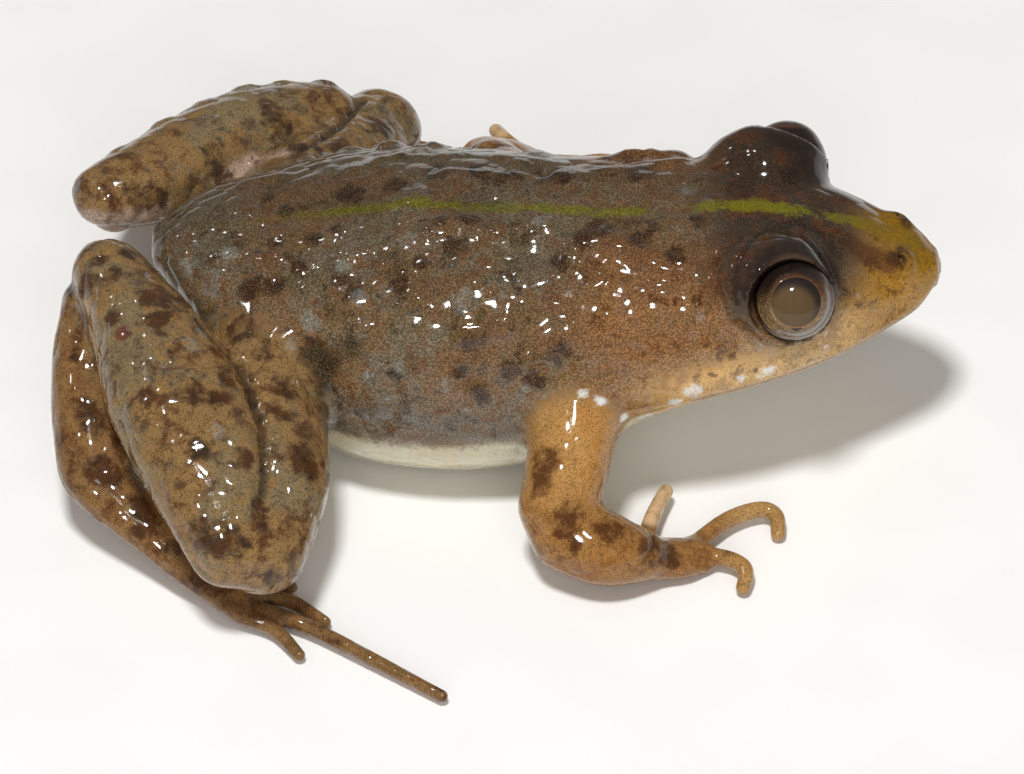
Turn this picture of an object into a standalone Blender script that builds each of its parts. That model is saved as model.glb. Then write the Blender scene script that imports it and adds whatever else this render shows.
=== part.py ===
"""A small warty frog, sitting, life size, as closed solids that meet at its joints.

Every size and place below is in millimetres: +X runs to the snout, +Y to the
frog's left and +Z up from the floor at 0. The meshes are scaled to metres at
the end. Each limb piece is a loft through a few stations, and each station is
(x, y, z, half width, half height).
"""

import math

import bmesh
import bpy
from mathutils import Matrix, Vector

# Driving dimensions
MM = 0.001
GAP = 0.25
RIGHT = -1
LEFT = 1

# Trunk and head, from the vent to the snout. Each station is (x, y of the midline,
# half width, height of the back, height of the belly, height of the widest place).
BODY_STATIONS = [
    (-7.20, 0.95, 0.50, 4.20, 3.30, 3.75),
    (-6.50, 0.85, 1.50, 4.55, 2.30, 3.45),
    (-5.60, 0.72, 2.30, 4.80, 1.40, 3.10),
    (-4.40, 0.56, 2.95, 5.07, 0.50, 2.85),
    (-3.20, 0.40, 3.36, 5.36, -0.02, 2.70),
    (-1.80, 0.22, 3.48, 5.62, -0.10, 2.65),
    (-0.50, 0.06, 3.36, 5.74, -0.04, 2.72),
    (0.80, -0.10, 3.22, 5.82, 0.40, 2.90),
    (1.90, -0.23, 3.14, 5.88, 1.25, 3.15),
    (2.90, -0.31, 3.02, 5.97, 2.00, 3.42),
    (3.87, -0.35, 2.88, 6.02, 2.52, 3.60),
    (4.80, -0.34, 2.66, 6.00, 2.80, 3.66),
    (5.76, -0.30, 2.30, 5.90, 2.90, 3.70),
    (6.75, -0.26, 1.84, 5.60, 3.12, 3.78),
    (7.60, -0.22, 1.36, 5.18, 3.42, 3.92),
    (8.20, -0.20, 0.94, 4.90, 3.62, 4.06),
    (8.55, -0.19, 0.46, 4.60, 3.90, 4.20),
]
NECK_X = 2.95
TAIL_ROUND = 0.18
SNOUT_ROUND = 0.12
BODY_AROUND = 32
BODY_RINGS = 40
BACK_POWER = 2.35
BELLY_POWER = 2.2

# Eyes
EYE_CENTRE = (5.62, 2.10, 5.30)
EYE_MIDDLE = -0.31
EYE_TURN = 0.02
EYE_RADIUS = 0.82
EYE_GAP = 0.12
LID_THICKNESS = 0.18
EYE_AXIS = (0.04, 0.80, 0.60)
LID_OPENING = 0.95
LID_OPENING_OUT = 0.80
# Mounds of the lids, measured from the eye: ahead, inwards, up, radius
LID_MOUNDS = [
    (0.00, 0.00, 0.00, EYE_RADIUS + EYE_GAP + LID_THICKNESS),
    (-0.08, 0.50, 0.08, 0.95),
    (-0.70, 0.42, -0.08, 0.85),
    (-1.12, 0.34, -0.16, 0.84),
]
LID_SEGMENTS = 16
LID_RINGS = 10

# Hind legs, by side: stations from the root outwards
THIGHS = {
    RIGHT: [
        (-5.10, -0.55, 2.95, 1.10, 1.20),
        (-4.98, -2.60, 2.75, 1.12, 1.20),
        (-4.78, -4.40, 2.40, 1.14, 1.10),
        (-5.02, -6.20, 1.95, 0.95, 0.88),
    ],
    LEFT: [
        (-5.00, 1.75, 2.95, 1.10, 1.15),
        (-4.45, 3.60, 2.70, 1.25, 1.15),
        (-3.62, 5.25, 2.32, 1.12, 1.02),
        (-2.82, 6.68, 2.00, 0.94, 0.88),
    ],
}
SHANKS = {
    RIGHT: [
        (-5.50, -6.32, 2.13, 0.97, 0.80),
        (-6.00, -4.90, 2.85, 1.35, 1.00),
        (-6.75, -3.20, 3.38, 1.42, 1.02),
        (-7.51, -1.45, 3.69, 1.07, 0.92),
        (-8.16, -0.08, 3.82, 0.80, 0.75),
    ],
    LEFT: [
        (-4.02, 6.28, 2.50, 0.95, 0.88),
        (-5.22, 5.55, 2.88, 1.15, 0.97),
        (-6.50, 4.48, 3.06, 1.15, 0.93),
        (-7.75, 3.45, 3.25, 0.92, 0.80),
        (-8.45, 2.90, 3.45, 0.66, 0.60),
    ],
}
TARSI = {
    RIGHT: [
        (-8.51, -0.24, 3.25, 0.67, 0.58),
        (-8.56, -1.60, 2.68, 0.79, 0.62),
        (-8.47, -3.15, 1.96, 0.80, 0.58),
    ],
    LEFT: [
        (-8.25, 3.30, 2.75, 0.52, 0.48),
        (-7.95, 4.60, 2.10, 0.52, 0.48),
        (-7.55, 5.90, 1.48, 0.54, 0.46),
    ],
}

# Each foot and hand: its sole or palm, and its digits from the inner one outwards
FEET = {
    RIGHT: [
        (-8.30, -3.72, 1.52, 0.70, 0.50),
        (-7.20, -4.60, 1.05, 0.62, 0.42),
        (-6.15, -5.38, 0.62, 0.60, 0.36),
        (-5.35, -6.00, 0.38, 0.52, 0.30),
    ],
    LEFT: [
        (-7.35, 6.45, 1.15, 0.50, 0.42),
        (-6.75, 7.25, 0.78, 0.52, 0.36),
        (-6.10, 7.80, 0.45, 0.58, 0.32),
        (-5.60, 8.05, 0.34, 0.52, 0.28),
    ],
}
TOES = {
    RIGHT: [
        [(-6.10, -5.40, 0.34), (-5.75, -5.05, 0.24), (-5.35, -4.85, 0.18)],
        [(-5.60, -5.65, 0.34), (-5.00, -5.40, 0.24), (-4.45, -5.38, 0.18)],
        [(-5.20, -5.85, 0.34), (-4.50, -5.85, 0.26), (-3.76, -6.40, 0.18)],
        [(-5.20, -6.15, 0.34), (-4.10, -6.64, 0.28), (-2.80, -7.55, 0.25), (-1.40, -8.56, 0.20)],
        [(-5.40, -6.40, 0.34), (-4.75, -6.72, 0.26), (-4.26, -7.36, 0.18)],
    ],
    LEFT: [
        [(-6.20, 7.50, 0.32), (-5.75, 7.20, 0.24), (-5.30, 7.00, 0.18)],
        [(-5.80, 7.80, 0.32), (-5.20, 7.50, 0.24), (-4.50, 7.30, 0.18)],
        [(-5.40, 7.95, 0.32), (-4.40, 7.80, 0.24), (-3.30, 7.60, 0.18)],
        [(-5.40, 8.10, 0.32), (-4.00, 8.45, 0.24), (-2.60, 8.40, 0.22), (-1.35, 8.15, 0.18)],
        [(-5.60, 8.30, 0.32), (-4.90, 8.75, 0.24), (-4.10, 9.00, 0.18)],
    ],
}
TOE_RADII = (0.27, 0.19)

UPPER_ARMS = {
    RIGHT: [
        (1.35, -2.70, 2.95, 0.92, 0.92),
        (1.16, -3.75, 2.35, 0.86, 0.82),
        (0.92, -4.60, 1.65, 0.79, 0.76),
    ],
    LEFT: [
        (1.20, 2.50, 2.95, 0.90, 0.90),
        (0.40, 4.00, 2.45, 0.76, 0.76),
        (-0.40, 5.40, 2.00, 0.68, 0.68),
    ],
}
FOREARMS = {
    RIGHT: [
        (1.12, -4.88, 1.20, 0.81, 0.75),
        (1.85, -5.12, 1.00, 0.80, 0.71),
        (2.55, -4.98, 0.70, 0.60, 0.53),
    ],
    LEFT: [
        (-0.52, 6.02, 1.55, 0.67, 0.68),
        (-0.10, 6.52, 1.12, 0.62, 0.60),
        (0.32, 6.98, 0.70, 0.52, 0.46),
    ],
}
PALMS = {
    RIGHT: [
        (2.95, -4.85, 0.48, 0.50, 0.38),
        (3.40, -4.70, 0.36, 0.52, 0.32),
        (3.80, -4.50, 0.30, 0.42, 0.28),
    ],
    LEFT: [
        (0.62, 7.14, 0.46, 0.47, 0.36),
        (1.00, 7.30, 0.34, 0.49, 0.30),
        (1.34, 7.40, 0.28, 0.42, 0.26),
    ],
}
FINGERS = {
    RIGHT: [
        [(2.66, -4.45, 0.42), (2.86, -3.55, 0.42), (3.13, -2.77, 0.40)],
        [(3.7, -4.25, 0.30), (4.4, -3.53, 0.32), (5.05, -3.25, 0.34), (5.37, -3.40, 0.3), (5.4, -3.8, 0.18)],
        [(3.7, -4.56, 0.3), (4.3, -4.68, 0.32), (4.65, -4.9, 0.32), (4.72, -5.15, 0.28), (4.66, -5.42, 0.2)],
        [(3.25, -4.68, 0.28), (3.58, -4.76, 0.22), (3.88, -4.76, 0.18)],
    ],
    LEFT: [
        [(0.60, 7.40, 0.40), (0.02, 8.02, 0.44), (-0.34, 8.56, 0.42)],
        [(1.30, 7.55, 0.28), (1.90, 7.70, 0.30), (2.50, 7.70, 0.18)],
        [(1.50, 7.35, 0.28), (2.20, 7.20, 0.30), (2.90, 7.10, 0.18)],
        [(1.30, 7.10, 0.28), (1.80, 6.70, 0.26), (2.20, 6.35, 0.18)],
    ],
}
FINGER_RADII = (0.27, 0.20)

# Mouth and nostrils
MOUTH_CORNER = 3.70
MOUTH_ANGLE = -14
MOUTH_RADIUS = 0.09
MOUTH_POINTS = 14
NOSTRIL_PLACE = (7.85, 0.62, 4.95)
NOSTRIL_MIDDLE = -0.21
NOSTRIL_RADIUS = 0.14
NOSTRIL_SEGMENTS = 10
NOSTRIL_RINGS = 8

# How finely the round forms are divided
LIMB_AROUND = 14
LIMB_STEPS = 4
DIGIT_AROUND = 8
DIGIT_STEPS = 3
CAP_ANGLES = (75, 50, 25)
BALL_SEGMENTS = 20
BALL_RINGS = 12
HALVINGS = 30

# Cutting boxes reach this far past the whole model
FAR = 40.0

COLOURS = {
    "head": (0.20, 0.12, 0.055, 1.0),
    "torso": (0.15, 0.11, 0.07, 1.0),
    "limb": (0.18, 0.11, 0.05, 1.0),
    "eye": (0.03, 0.018, 0.012, 1.0),
}
SKIN_ROUGHNESS = 0.32
EYE_ROUGHNESS = 0.06
SHARP_DEGREES = 40


def clear_scene():
    for thing in list(bpy.data.objects):
        bpy.data.objects.remove(thing, do_unlink=True)


def material(name, colour, roughness):
    made = bpy.data.materials.new(name)
    made.use_nodes = True
    shader = made.node_tree.nodes["Principled BSDF"]
    shader.inputs["Base Color"].default_value = colour
    shader.inputs["Roughness"].default_value = roughness
    shader.inputs["Metallic"].default_value = 0.0
    return made


def eased(values, position):
    """Catmull-Rom interpolation of equal-length tuples at a position counted in stations."""
    last = len(values) - 1
    index = min(int(position), last - 1)
    t = position - index
    before = values[max(index - 1, 0)]
    start = values[index]
    end = values[index + 1]
    after = values[min(index + 2, last)]
    return [
        0.5 * (2 * b + (c - a) * t + (2 * a - 5 * b + 4 * c - d) * t * t + (3 * b - a - 3 * c + d) * t ** 3)
        for a, b, c, d in zip(before, start, end, after)
    ]


def mesh_object(name, rings, first_pole, last_pole):
    """A closed surface through rings of equal length, closed at each end by a fan round a pole."""
    shape = bmesh.new()
    loops = [[shape.verts.new(point) for point in ring] for ring in rings]
    around = len(loops[0])
    for near, far in zip(loops, loops[1:]):
        for i in range(around):
            j = (i + 1) % around
            shape.faces.new((near[i], near[j], far[j], far[i]))
    for loop, pole in ((loops[0], first_pole), (loops[-1], last_pole)):
        centre = shape.verts.new(pole)
        for i in range(around):
            shape.faces.new((loop[i], loop[(i + 1) % around], centre))
    bmesh.ops.recalc_face_normals(shape, faces=shape.faces)
    mesh = bpy.data.meshes.new(name)
    shape.to_mesh(mesh)
    shape.free()
    made = bpy.data.objects.new(name, mesh)
    bpy.context.scene.collection.objects.link(made)
    return made


def limb(name, stations, grow=0.0, around=LIMB_AROUND, steps=LIMB_STEPS):
    """A round-ended spindle through (x, y, z, half width, half height) stations."""
    count = (len(stations) - 1) * steps
    samples = [eased(stations, i / steps) for i in range(count + 1)]
    centres = [Vector(s[:3]) for s in samples]
    rings = []
    ends = {}

    def ring(centre, tangent, half_width, half_height):
        side = tangent.cross(Vector((0, 0, 1))).normalized()
        rise = side.cross(tangent).normalized()
        return [
            centre
            + side * math.cos(2 * math.pi * k / around) * half_width
            + rise * math.sin(2 * math.pi * k / around) * half_height
            for k in range(around)
        ]

    def cap(index, tangent, outward):
        half_width = samples[index][3] + grow
        half_height = samples[index][4] + grow
        reach = 0.5 * (half_width + half_height)
        made = []
        for angle in CAP_ANGLES:
            turn = math.radians(angle)
            centre = centres[index] + outward * reach * math.sin(turn)
            shrink = math.cos(turn)
            made.append(ring(centre, tangent, half_width * shrink, half_height * shrink))
        return made, centres[index] + outward * reach

    start = (centres[1] - centres[0]).normalized()
    finish = (centres[-1] - centres[-2]).normalized()
    first_rings, ends["first"] = cap(0, start, -start)
    last_rings, ends["last"] = cap(count, finish, finish)
    rings.extend(first_rings)
    for i, sample in enumerate(samples):
        tangent = centres[min(i + 1, count)] - centres[max(i - 1, 0)]
        rings.append(ring(centres[i], tangent.normalized(), sample[3] + grow, sample[4] + grow))
    rings.extend(reversed(last_rings))
    return mesh_object(name, rings, ends["first"], ends["last"])


def digit(name, points, radii, grow=0.0):
    """A finger or toe: a thin spindle that tapers from its root to its tip."""
    last = len(points) - 1
    stations = []
    for i, point in enumerate(points):
        radius = radii[0] + (radii[1] - radii[0]) * i / last
        stations.append((*point, radius, radius))
    return limb(name, stations, grow, DIGIT_AROUND, DIGIT_STEPS)


def body_point(sample, turn):
    """The surface of trunk or head at an angle round a cross-section: 0 is its left, 90 degrees its back."""
    x, middle, half_width, top, bottom, widest = sample
    across = math.cos(turn)
    up = math.sin(turn)
    power = BACK_POWER if up > 0 else BELLY_POWER
    reach = (top - widest) if up > 0 else (widest - bottom)
    y = middle + half_width * math.copysign(abs(across) ** (2 / power), across)
    z = widest + reach * math.copysign(abs(up) ** (2 / power), up)
    return Vector((x, y, z))


def body_ring(sample):
    return [body_point(sample, 2 * math.pi * k / BODY_AROUND) for k in range(BODY_AROUND)]


def body_sample(x):
    """The body's station values at a place along it."""
    last = len(BODY_STATIONS) - 1
    low = 0.0
    high = float(last)
    for _ in range(HALVINGS):
        middle = (low + high) / 2
        if eased(BODY_STATIONS, middle)[0] < x:
            low = middle
        else:
            high = middle
    return eased(BODY_STATIONS, low)


def body(name):
    last = len(BODY_STATIONS) - 1
    rings = [body_ring(eased(BODY_STATIONS, last * i / BODY_RINGS)) for i in range(BODY_RINGS + 1)]
    first = BODY_STATIONS[0]
    end = BODY_STATIONS[-1]
    return mesh_object(
        name,
        rings,
        Vector((first[0] - TAIL_ROUND, first[1], first[5])),
        Vector((end[0] + SNOUT_ROUND, end[1], end[5])),
    )


def ball(name, centre, radius, segments=BALL_SEGMENTS, rings=BALL_RINGS):
    shape = bmesh.new()
    bmesh.ops.create_uvsphere(shape, u_segments=segments, v_segments=rings, radius=radius)
    bmesh.ops.translate(shape, verts=shape.verts, vec=Vector(centre))
    mesh = bpy.data.meshes.new(name)
    shape.to_mesh(mesh)
    shape.free()
    made = bpy.data.objects.new(name, mesh)
    bpy.context.scene.collection.objects.link(made)
    return made


def box(name, low, high):
    shape = bmesh.new()
    bmesh.ops.create_cube(shape, size=1.0)
    size = Vector(high) - Vector(low)
    middle = (Vector(high) + Vector(low)) / 2
    bmesh.ops.scale(shape, vec=size, verts=shape.verts)
    bmesh.ops.translate(shape, vec=middle, verts=shape.verts)
    mesh = bpy.data.meshes.new(name)
    shape.to_mesh(mesh)
    shape.free()
    made = bpy.data.objects.new(name, mesh)
    bpy.context.scene.collection.objects.link(made)
    return made


def apply_modifiers(thing):
    graph = bpy.context.evaluated_depsgraph_get()
    fresh = bpy.data.meshes.new_from_object(thing.evaluated_get(graph))
    thing.modifiers.clear()
    thing.data = fresh


def keep_largest(thing):
    """Drops every closed surface of the mesh but the one with the largest volume."""
    shape = bmesh.new()
    shape.from_mesh(thing.data)
    left = set(shape.faces)
    groups = []
    while left:
        seed = left.pop()
        group = {seed}
        queue = [seed]
        while queue:
            face = queue.pop()
            for edge in face.edges:
                for other in edge.link_faces:
                    if other not in group:
                        group.add(other)
                        queue.append(other)
        left -= group
        groups.append(group)

    def volume(group):
        total = 0.0
        for face in group:
            corners = [v.co for v in face.verts]
            for a, b in zip(corners[1:], corners[2:]):
                total += corners[0].dot(a.cross(b)) / 6
        return abs(total)

    groups.sort(key=volume)
    for group in groups[:-1]:
        bmesh.ops.delete(shape, geom=list(group), context="FACES")
    loose = [v for v in shape.verts if not v.link_faces]
    bmesh.ops.delete(shape, geom=loose, context="VERTS")
    shape.to_mesh(thing.data)
    shape.free()


def join(thing, others):
    """Fuses the other closed meshes into the first with one Boolean union, and removes them."""
    group = bpy.data.collections.new(thing.name + "_joined")
    for other in others:
        group.objects.link(other)
    union = thing.modifiers.new("join", "BOOLEAN")
    union.operation = "UNION"
    union.operand_type = "COLLECTION"
    union.collection = group
    union.solver = "EXACT"
    apply_modifiers(thing)
    for other in others:
        bpy.data.objects.remove(other, do_unlink=True)
    bpy.data.collections.remove(group)
    keep_largest(thing)


def cut(thing, cutters):
    """Takes each cutter away from the piece, removes the cutters and drops loose scraps."""
    for i, cutter in enumerate(cutters):
        cutter.hide_render = True
        cutter.display_type = "WIRE"
        difference = thing.modifiers.new(f"cut_{i}", "BOOLEAN")
        difference.operation = "DIFFERENCE"
        difference.object = cutter
        difference.solver = "EXACT"
    apply_modifiers(thing)
    for cutter in cutters:
        bpy.data.objects.remove(cutter, do_unlink=True)
    keep_largest(thing)


def floor_box():
    return box("floor_cut", (-FAR, -FAR, -FAR), (FAR, FAR, 0))


def grown(stations):
    """A limb piece made larger all round by the gap between neighbours, to cut with."""
    return limb("grown", stations, GAP)


def eye_centre(side):
    x, out, z = EYE_CENTRE
    return Vector((x - side * EYE_TURN, EYE_MIDDLE + side * out, z))


def eye_axis(side):
    ahead, out, up = EYE_AXIS
    return Vector((ahead, side * out, up)).normalized()


def mouth_cutter():
    """A thin tube along the gape, from one corner round the snout to the other."""
    end = BODY_STATIONS[-1][0]
    path = {}
    for side in (RIGHT, LEFT):
        turn = math.radians(MOUTH_ANGLE if side == LEFT else 180 - MOUTH_ANGLE)
        path[side] = [
            body_point(body_sample(MOUTH_CORNER + (end - MOUTH_CORNER) * i / MOUTH_POINTS), turn)
            for i in range(MOUTH_POINTS + 1)
        ]
    tip = (path[RIGHT][-1] + path[LEFT][-1]) / 2 + Vector((SNOUT_ROUND, 0, 0))
    points = path[RIGHT] + [tip] + path[LEFT][::-1]
    stations = [(*point, MOUTH_RADIUS, MOUTH_RADIUS) for point in points]
    return limb("gape", stations, around=DIGIT_AROUND, steps=1)


def build_trunk():
    torso = body("torso")
    cutters = [box("neck_cut", (NECK_X - GAP / 2, -FAR, -FAR), (FAR, FAR, FAR)), floor_box()]
    for side in (RIGHT, LEFT):
        cutters.append(grown(THIGHS[side]))
        cutters.append(grown(SHANKS[side]))
        cutters.append(grown(UPPER_ARMS[side]))
    cut(torso, cutters)
    return torso


def build_head():
    head = body("head")
    mounds = []
    for side in (RIGHT, LEFT):
        for ahead, inward, up, radius in LID_MOUNDS:
            centre = eye_centre(side) + Vector((ahead, -side * inward, up))
            mounds.append(ball("lid", centre, radius, LID_SEGMENTS, LID_RINGS))
    join(head, mounds)
    cutters = [box("neck_cut", (-FAR, -FAR, -FAR), (NECK_X + GAP / 2, FAR, FAR))]
    for side in (RIGHT, LEFT):
        cutters.append(ball("socket", eye_centre(side), EYE_RADIUS + EYE_GAP))
        cutters.append(ball("opening", eye_centre(side) + eye_axis(side) * LID_OPENING_OUT, LID_OPENING))
        ahead, out, up = NOSTRIL_PLACE
        nostril = (ahead, NOSTRIL_MIDDLE + side * out, up)
        cutters.append(ball("nostril", nostril, NOSTRIL_RADIUS, NOSTRIL_SEGMENTS, NOSTRIL_RINGS))
        cutters.append(grown(UPPER_ARMS[side]))
    cutters.append(mouth_cutter())
    cut(head, cutters)
    return head


def build_eye(side, name):
    return ball(name, eye_centre(side), EYE_RADIUS)


def build_limbs(side, word):
    shank = limb(f"shank_{word}", SHANKS[side])
    thigh = limb(f"thigh_{word}", THIGHS[side])
    cut(thigh, [grown(SHANKS[side])])
    tarsus = limb(f"tarsus_{word}", TARSI[side])
    cut(tarsus, [grown(SHANKS[side]), grown(THIGHS[side])])
    foot = limb(f"foot_{word}", FEET[side])
    join(foot, [digit("toe", points, TOE_RADII) for points in TOES[side]])
    cut(foot, [grown(SHANKS[side]), grown(TARSI[side]), grown(THIGHS[side]), floor_box()])
    forearm = limb(f"forearm_{word}", FOREARMS[side])
    upper_arm = limb(f"upper_arm_{word}", UPPER_ARMS[side])
    cut(upper_arm, [grown(FOREARMS[side])])
    hand = limb(f"hand_{word}", PALMS[side])
    join(hand, [digit("finger", points, FINGER_RADII) for points in FINGERS[side]])
    cut(hand, [grown(FOREARMS[side]), floor_box()])
    cut(forearm, [floor_box()])
    return [shank, thigh, tarsus, foot, forearm, upper_arm, hand]


def finish_piece(piece, finish):
    """Gives a piece its material and smooth shading."""
    piece.data.materials.clear()
    piece.data.materials.append(finish)
    piece.data.shade_smooth()
    piece.data.set_sharp_from_angle(angle=math.radians(SHARP_DEGREES))


def stand_on_origin(pieces):
    """Scales the pieces to metres, with the middle of their whole box over the origin."""
    places = [vertex.co for piece in pieces for vertex in piece.data.vertices]
    middle_x = (min(p.x for p in places) + max(p.x for p in places)) / 2
    middle_y = (min(p.y for p in places) + max(p.y for p in places)) / 2
    move = Matrix.Translation((-middle_x, -middle_y, 0))
    for piece in pieces:
        piece.data.transform(Matrix.Scale(MM, 4) @ move)


def main():
    clear_scene()
    head_skin = material("head_skin", COLOURS["head"], SKIN_ROUGHNESS)
    back_skin = material("back_skin", COLOURS["torso"], SKIN_ROUGHNESS)
    limb_skin = material("limb_skin", COLOURS["limb"], SKIN_ROUGHNESS)
    eye_gloss = material("eye_gloss", COLOURS["eye"], EYE_ROUGHNESS)
    pieces = [build_trunk(), build_head()]
    finish_piece(pieces[0], back_skin)
    finish_piece(pieces[1], head_skin)
    for side, word in ((RIGHT, "right"), (LEFT, "left")):
        eye = build_eye(side, f"eye_{word}")
        finish_piece(eye, eye_gloss)
        pieces.append(eye)
        for piece in build_limbs(side, word):
            finish_piece(piece, limb_skin)
            pieces.append(piece)
    stand_on_origin(pieces)


main()
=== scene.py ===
"""The looks of a small wet warty frog: one skin over its flesh, two eyes, floor, light and camera.

Sizes are in millimetres in the frog's own frame, the one its solids were drawn in: +X to the
snout, +Y to its left, +Z up from the floor. Everything is scaled to metres and moved onto the
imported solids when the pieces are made.
"""

import math
from functools import partialmethod

import bmesh
import bpy
import numpy as np
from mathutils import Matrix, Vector
from mathutils.bvhtree import BVHTree


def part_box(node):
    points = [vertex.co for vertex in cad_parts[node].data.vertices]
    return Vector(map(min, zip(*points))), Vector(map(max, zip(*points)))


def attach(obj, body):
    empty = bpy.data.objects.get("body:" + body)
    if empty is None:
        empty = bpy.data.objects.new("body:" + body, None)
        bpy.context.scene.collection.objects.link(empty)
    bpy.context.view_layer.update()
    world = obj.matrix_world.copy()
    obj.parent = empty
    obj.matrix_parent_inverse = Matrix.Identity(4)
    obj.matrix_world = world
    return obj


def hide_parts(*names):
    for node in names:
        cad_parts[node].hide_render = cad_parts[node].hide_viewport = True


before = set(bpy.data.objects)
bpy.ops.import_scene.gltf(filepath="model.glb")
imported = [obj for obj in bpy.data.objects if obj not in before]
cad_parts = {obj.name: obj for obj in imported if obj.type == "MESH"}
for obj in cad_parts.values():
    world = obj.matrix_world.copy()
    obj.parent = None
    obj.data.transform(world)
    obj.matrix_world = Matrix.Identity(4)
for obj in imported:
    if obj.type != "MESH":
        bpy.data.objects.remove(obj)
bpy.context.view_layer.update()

MM = 0.001
RIGHT = -1
LEFT = 1
SIDES = (RIGHT, LEFT)

# Trunk and head, from the vent to the snout. Each station is (x, y of the midline,
# half width, height of the back, height of the belly, height of the widest place).
BODY_STATIONS = [
    (-7.2, 0.95, 0.5, 4.2, 3.3, 3.75), (-6.5, 0.85, 1.5, 4.55, 2.3, 3.45),
    (-5.6, 0.72, 2.3, 4.8, 1.4, 3.1), (-4.4, 0.56, 2.95, 5.07, 0.5, 2.85),
    (-3.2, 0.4, 3.36, 5.36, -0.02, 2.7), (-1.8, 0.22, 3.48, 5.62, -0.1, 2.65),
    (-0.5, 0.06, 3.36, 5.74, -0.04, 2.72), (0.8, -0.1, 3.22, 5.82, 0.4, 2.9),
    (1.9, -0.23, 3.14, 5.88, 1.25, 3.15), (2.9, -0.31, 3.02, 5.97, 2.0, 3.42),
    (3.87, -0.35, 2.88, 6.02, 2.52, 3.6), (4.8, -0.34, 2.66, 6.0, 2.8, 3.66),
    (5.76, -0.3, 2.3, 5.9, 2.9, 3.7), (6.75, -0.26, 1.84, 5.6, 3.12, 3.78),
    (7.6, -0.22, 1.36, 5.18, 3.42, 3.92), (8.2, -0.2, 0.94, 4.9, 3.62, 4.06),
    (8.55, -0.19, 0.46, 4.6, 3.9, 4.2),
]
BACK_POWER = 2.35
BELLY_POWER = 2.2

# Eyes
EYE_CENTRE = (5.62, 2.10, 5.30)
EYE_MIDDLE = -0.31
EYE_TURN = 0.02
EYE_RADIUS = 0.82
EYE_AXIS = (0.04, 0.80, 0.60)

# Hind legs, by side: stations from the root outwards
THIGHS = {
    RIGHT: [
        (-5.1, -0.55, 2.95, 1.1, 1.2), (-4.98, -2.6, 2.75, 1.12, 1.2),
        (-4.78, -4.4, 2.4, 1.14, 1.1), (-5.02, -6.2, 1.95, 0.95, 0.88),
    ],
    LEFT: [
        (-5.0, 1.75, 2.95, 1.1, 1.15), (-4.45, 3.6, 2.7, 1.25, 1.15),
        (-3.62, 5.25, 2.32, 1.12, 1.02), (-2.82, 6.68, 2.0, 0.94, 0.88),
    ],
}
SHANKS = {
    RIGHT: [
        (-5.5, -6.32, 2.13, 0.97, 0.8), (-6.0, -4.9, 2.85, 1.35, 1.0),
        (-6.75, -3.2, 3.38, 1.42, 1.02), (-7.51, -1.45, 3.69, 1.07, 0.92),
        (-8.16, -0.08, 3.82, 0.8, 0.75),
    ],
    LEFT: [
        (-4.02, 6.28, 2.5, 0.95, 0.88), (-5.22, 5.55, 2.88, 1.15, 0.97),
        (-6.5, 4.48, 3.06, 1.15, 0.93), (-7.75, 3.45, 3.25, 0.92, 0.8),
        (-8.45, 2.9, 3.45, 0.66, 0.6),
    ],
}
TARSI = {
    RIGHT: [
        (-8.51, -0.24, 3.25, 0.67, 0.58), (-8.56, -1.6, 2.68, 0.79, 0.62),
        (-8.47, -3.15, 1.96, 0.8, 0.58),
    ],
    LEFT: [
        (-8.25, 3.3, 2.75, 0.52, 0.48), (-7.95, 4.6, 2.1, 0.52, 0.48),
        (-7.55, 5.9, 1.48, 0.54, 0.46),
    ],
}

# Each foot and hand: its sole or palm, and its digits from the inner one outwards
FEET = {
    RIGHT: [
        (-8.3, -3.72, 1.52, 0.7, 0.5), (-7.2, -4.6, 1.05, 0.62, 0.42),
        (-6.15, -5.38, 0.62, 0.6, 0.36), (-5.35, -6.0, 0.38, 0.52, 0.3),
    ],
    LEFT: [
        (-7.35, 6.45, 1.15, 0.5, 0.42), (-6.75, 7.25, 0.78, 0.52, 0.36),
        (-6.1, 7.8, 0.45, 0.58, 0.32), (-5.6, 8.05, 0.34, 0.52, 0.28),
    ],
}
TOES = {
    RIGHT: [
        [(-6.1, -5.4, 0.34), (-5.75, -5.05, 0.24), (-5.35, -4.85, 0.18)],
        [(-5.6, -5.65, 0.34), (-5.0, -5.4, 0.24), (-4.45, -5.38, 0.18)],
        [(-5.2, -5.85, 0.34), (-4.5, -5.85, 0.26), (-3.76, -6.4, 0.18)],
        [(-5.2, -6.15, 0.34), (-4.1, -6.64, 0.28), (-2.8, -7.55, 0.25), (-1.4, -8.56, 0.2)],
        [(-5.4, -6.4, 0.34), (-4.75, -6.72, 0.26), (-4.26, -7.36, 0.18)],
    ],
    LEFT: [
        [(-6.2, 7.5, 0.32), (-5.75, 7.2, 0.24), (-5.3, 7.0, 0.18)],
        [(-5.8, 7.8, 0.32), (-5.2, 7.5, 0.24), (-4.5, 7.3, 0.18)],
        [(-5.4, 7.95, 0.32), (-4.4, 7.8, 0.24), (-3.3, 7.6, 0.18)],
        [(-5.4, 8.1, 0.32), (-4.0, 8.45, 0.24), (-2.6, 8.4, 0.22), (-1.35, 8.15, 0.18)],
        [(-5.6, 8.3, 0.32), (-4.9, 8.75, 0.24), (-4.1, 9.0, 0.18)],
    ],
}

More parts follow.
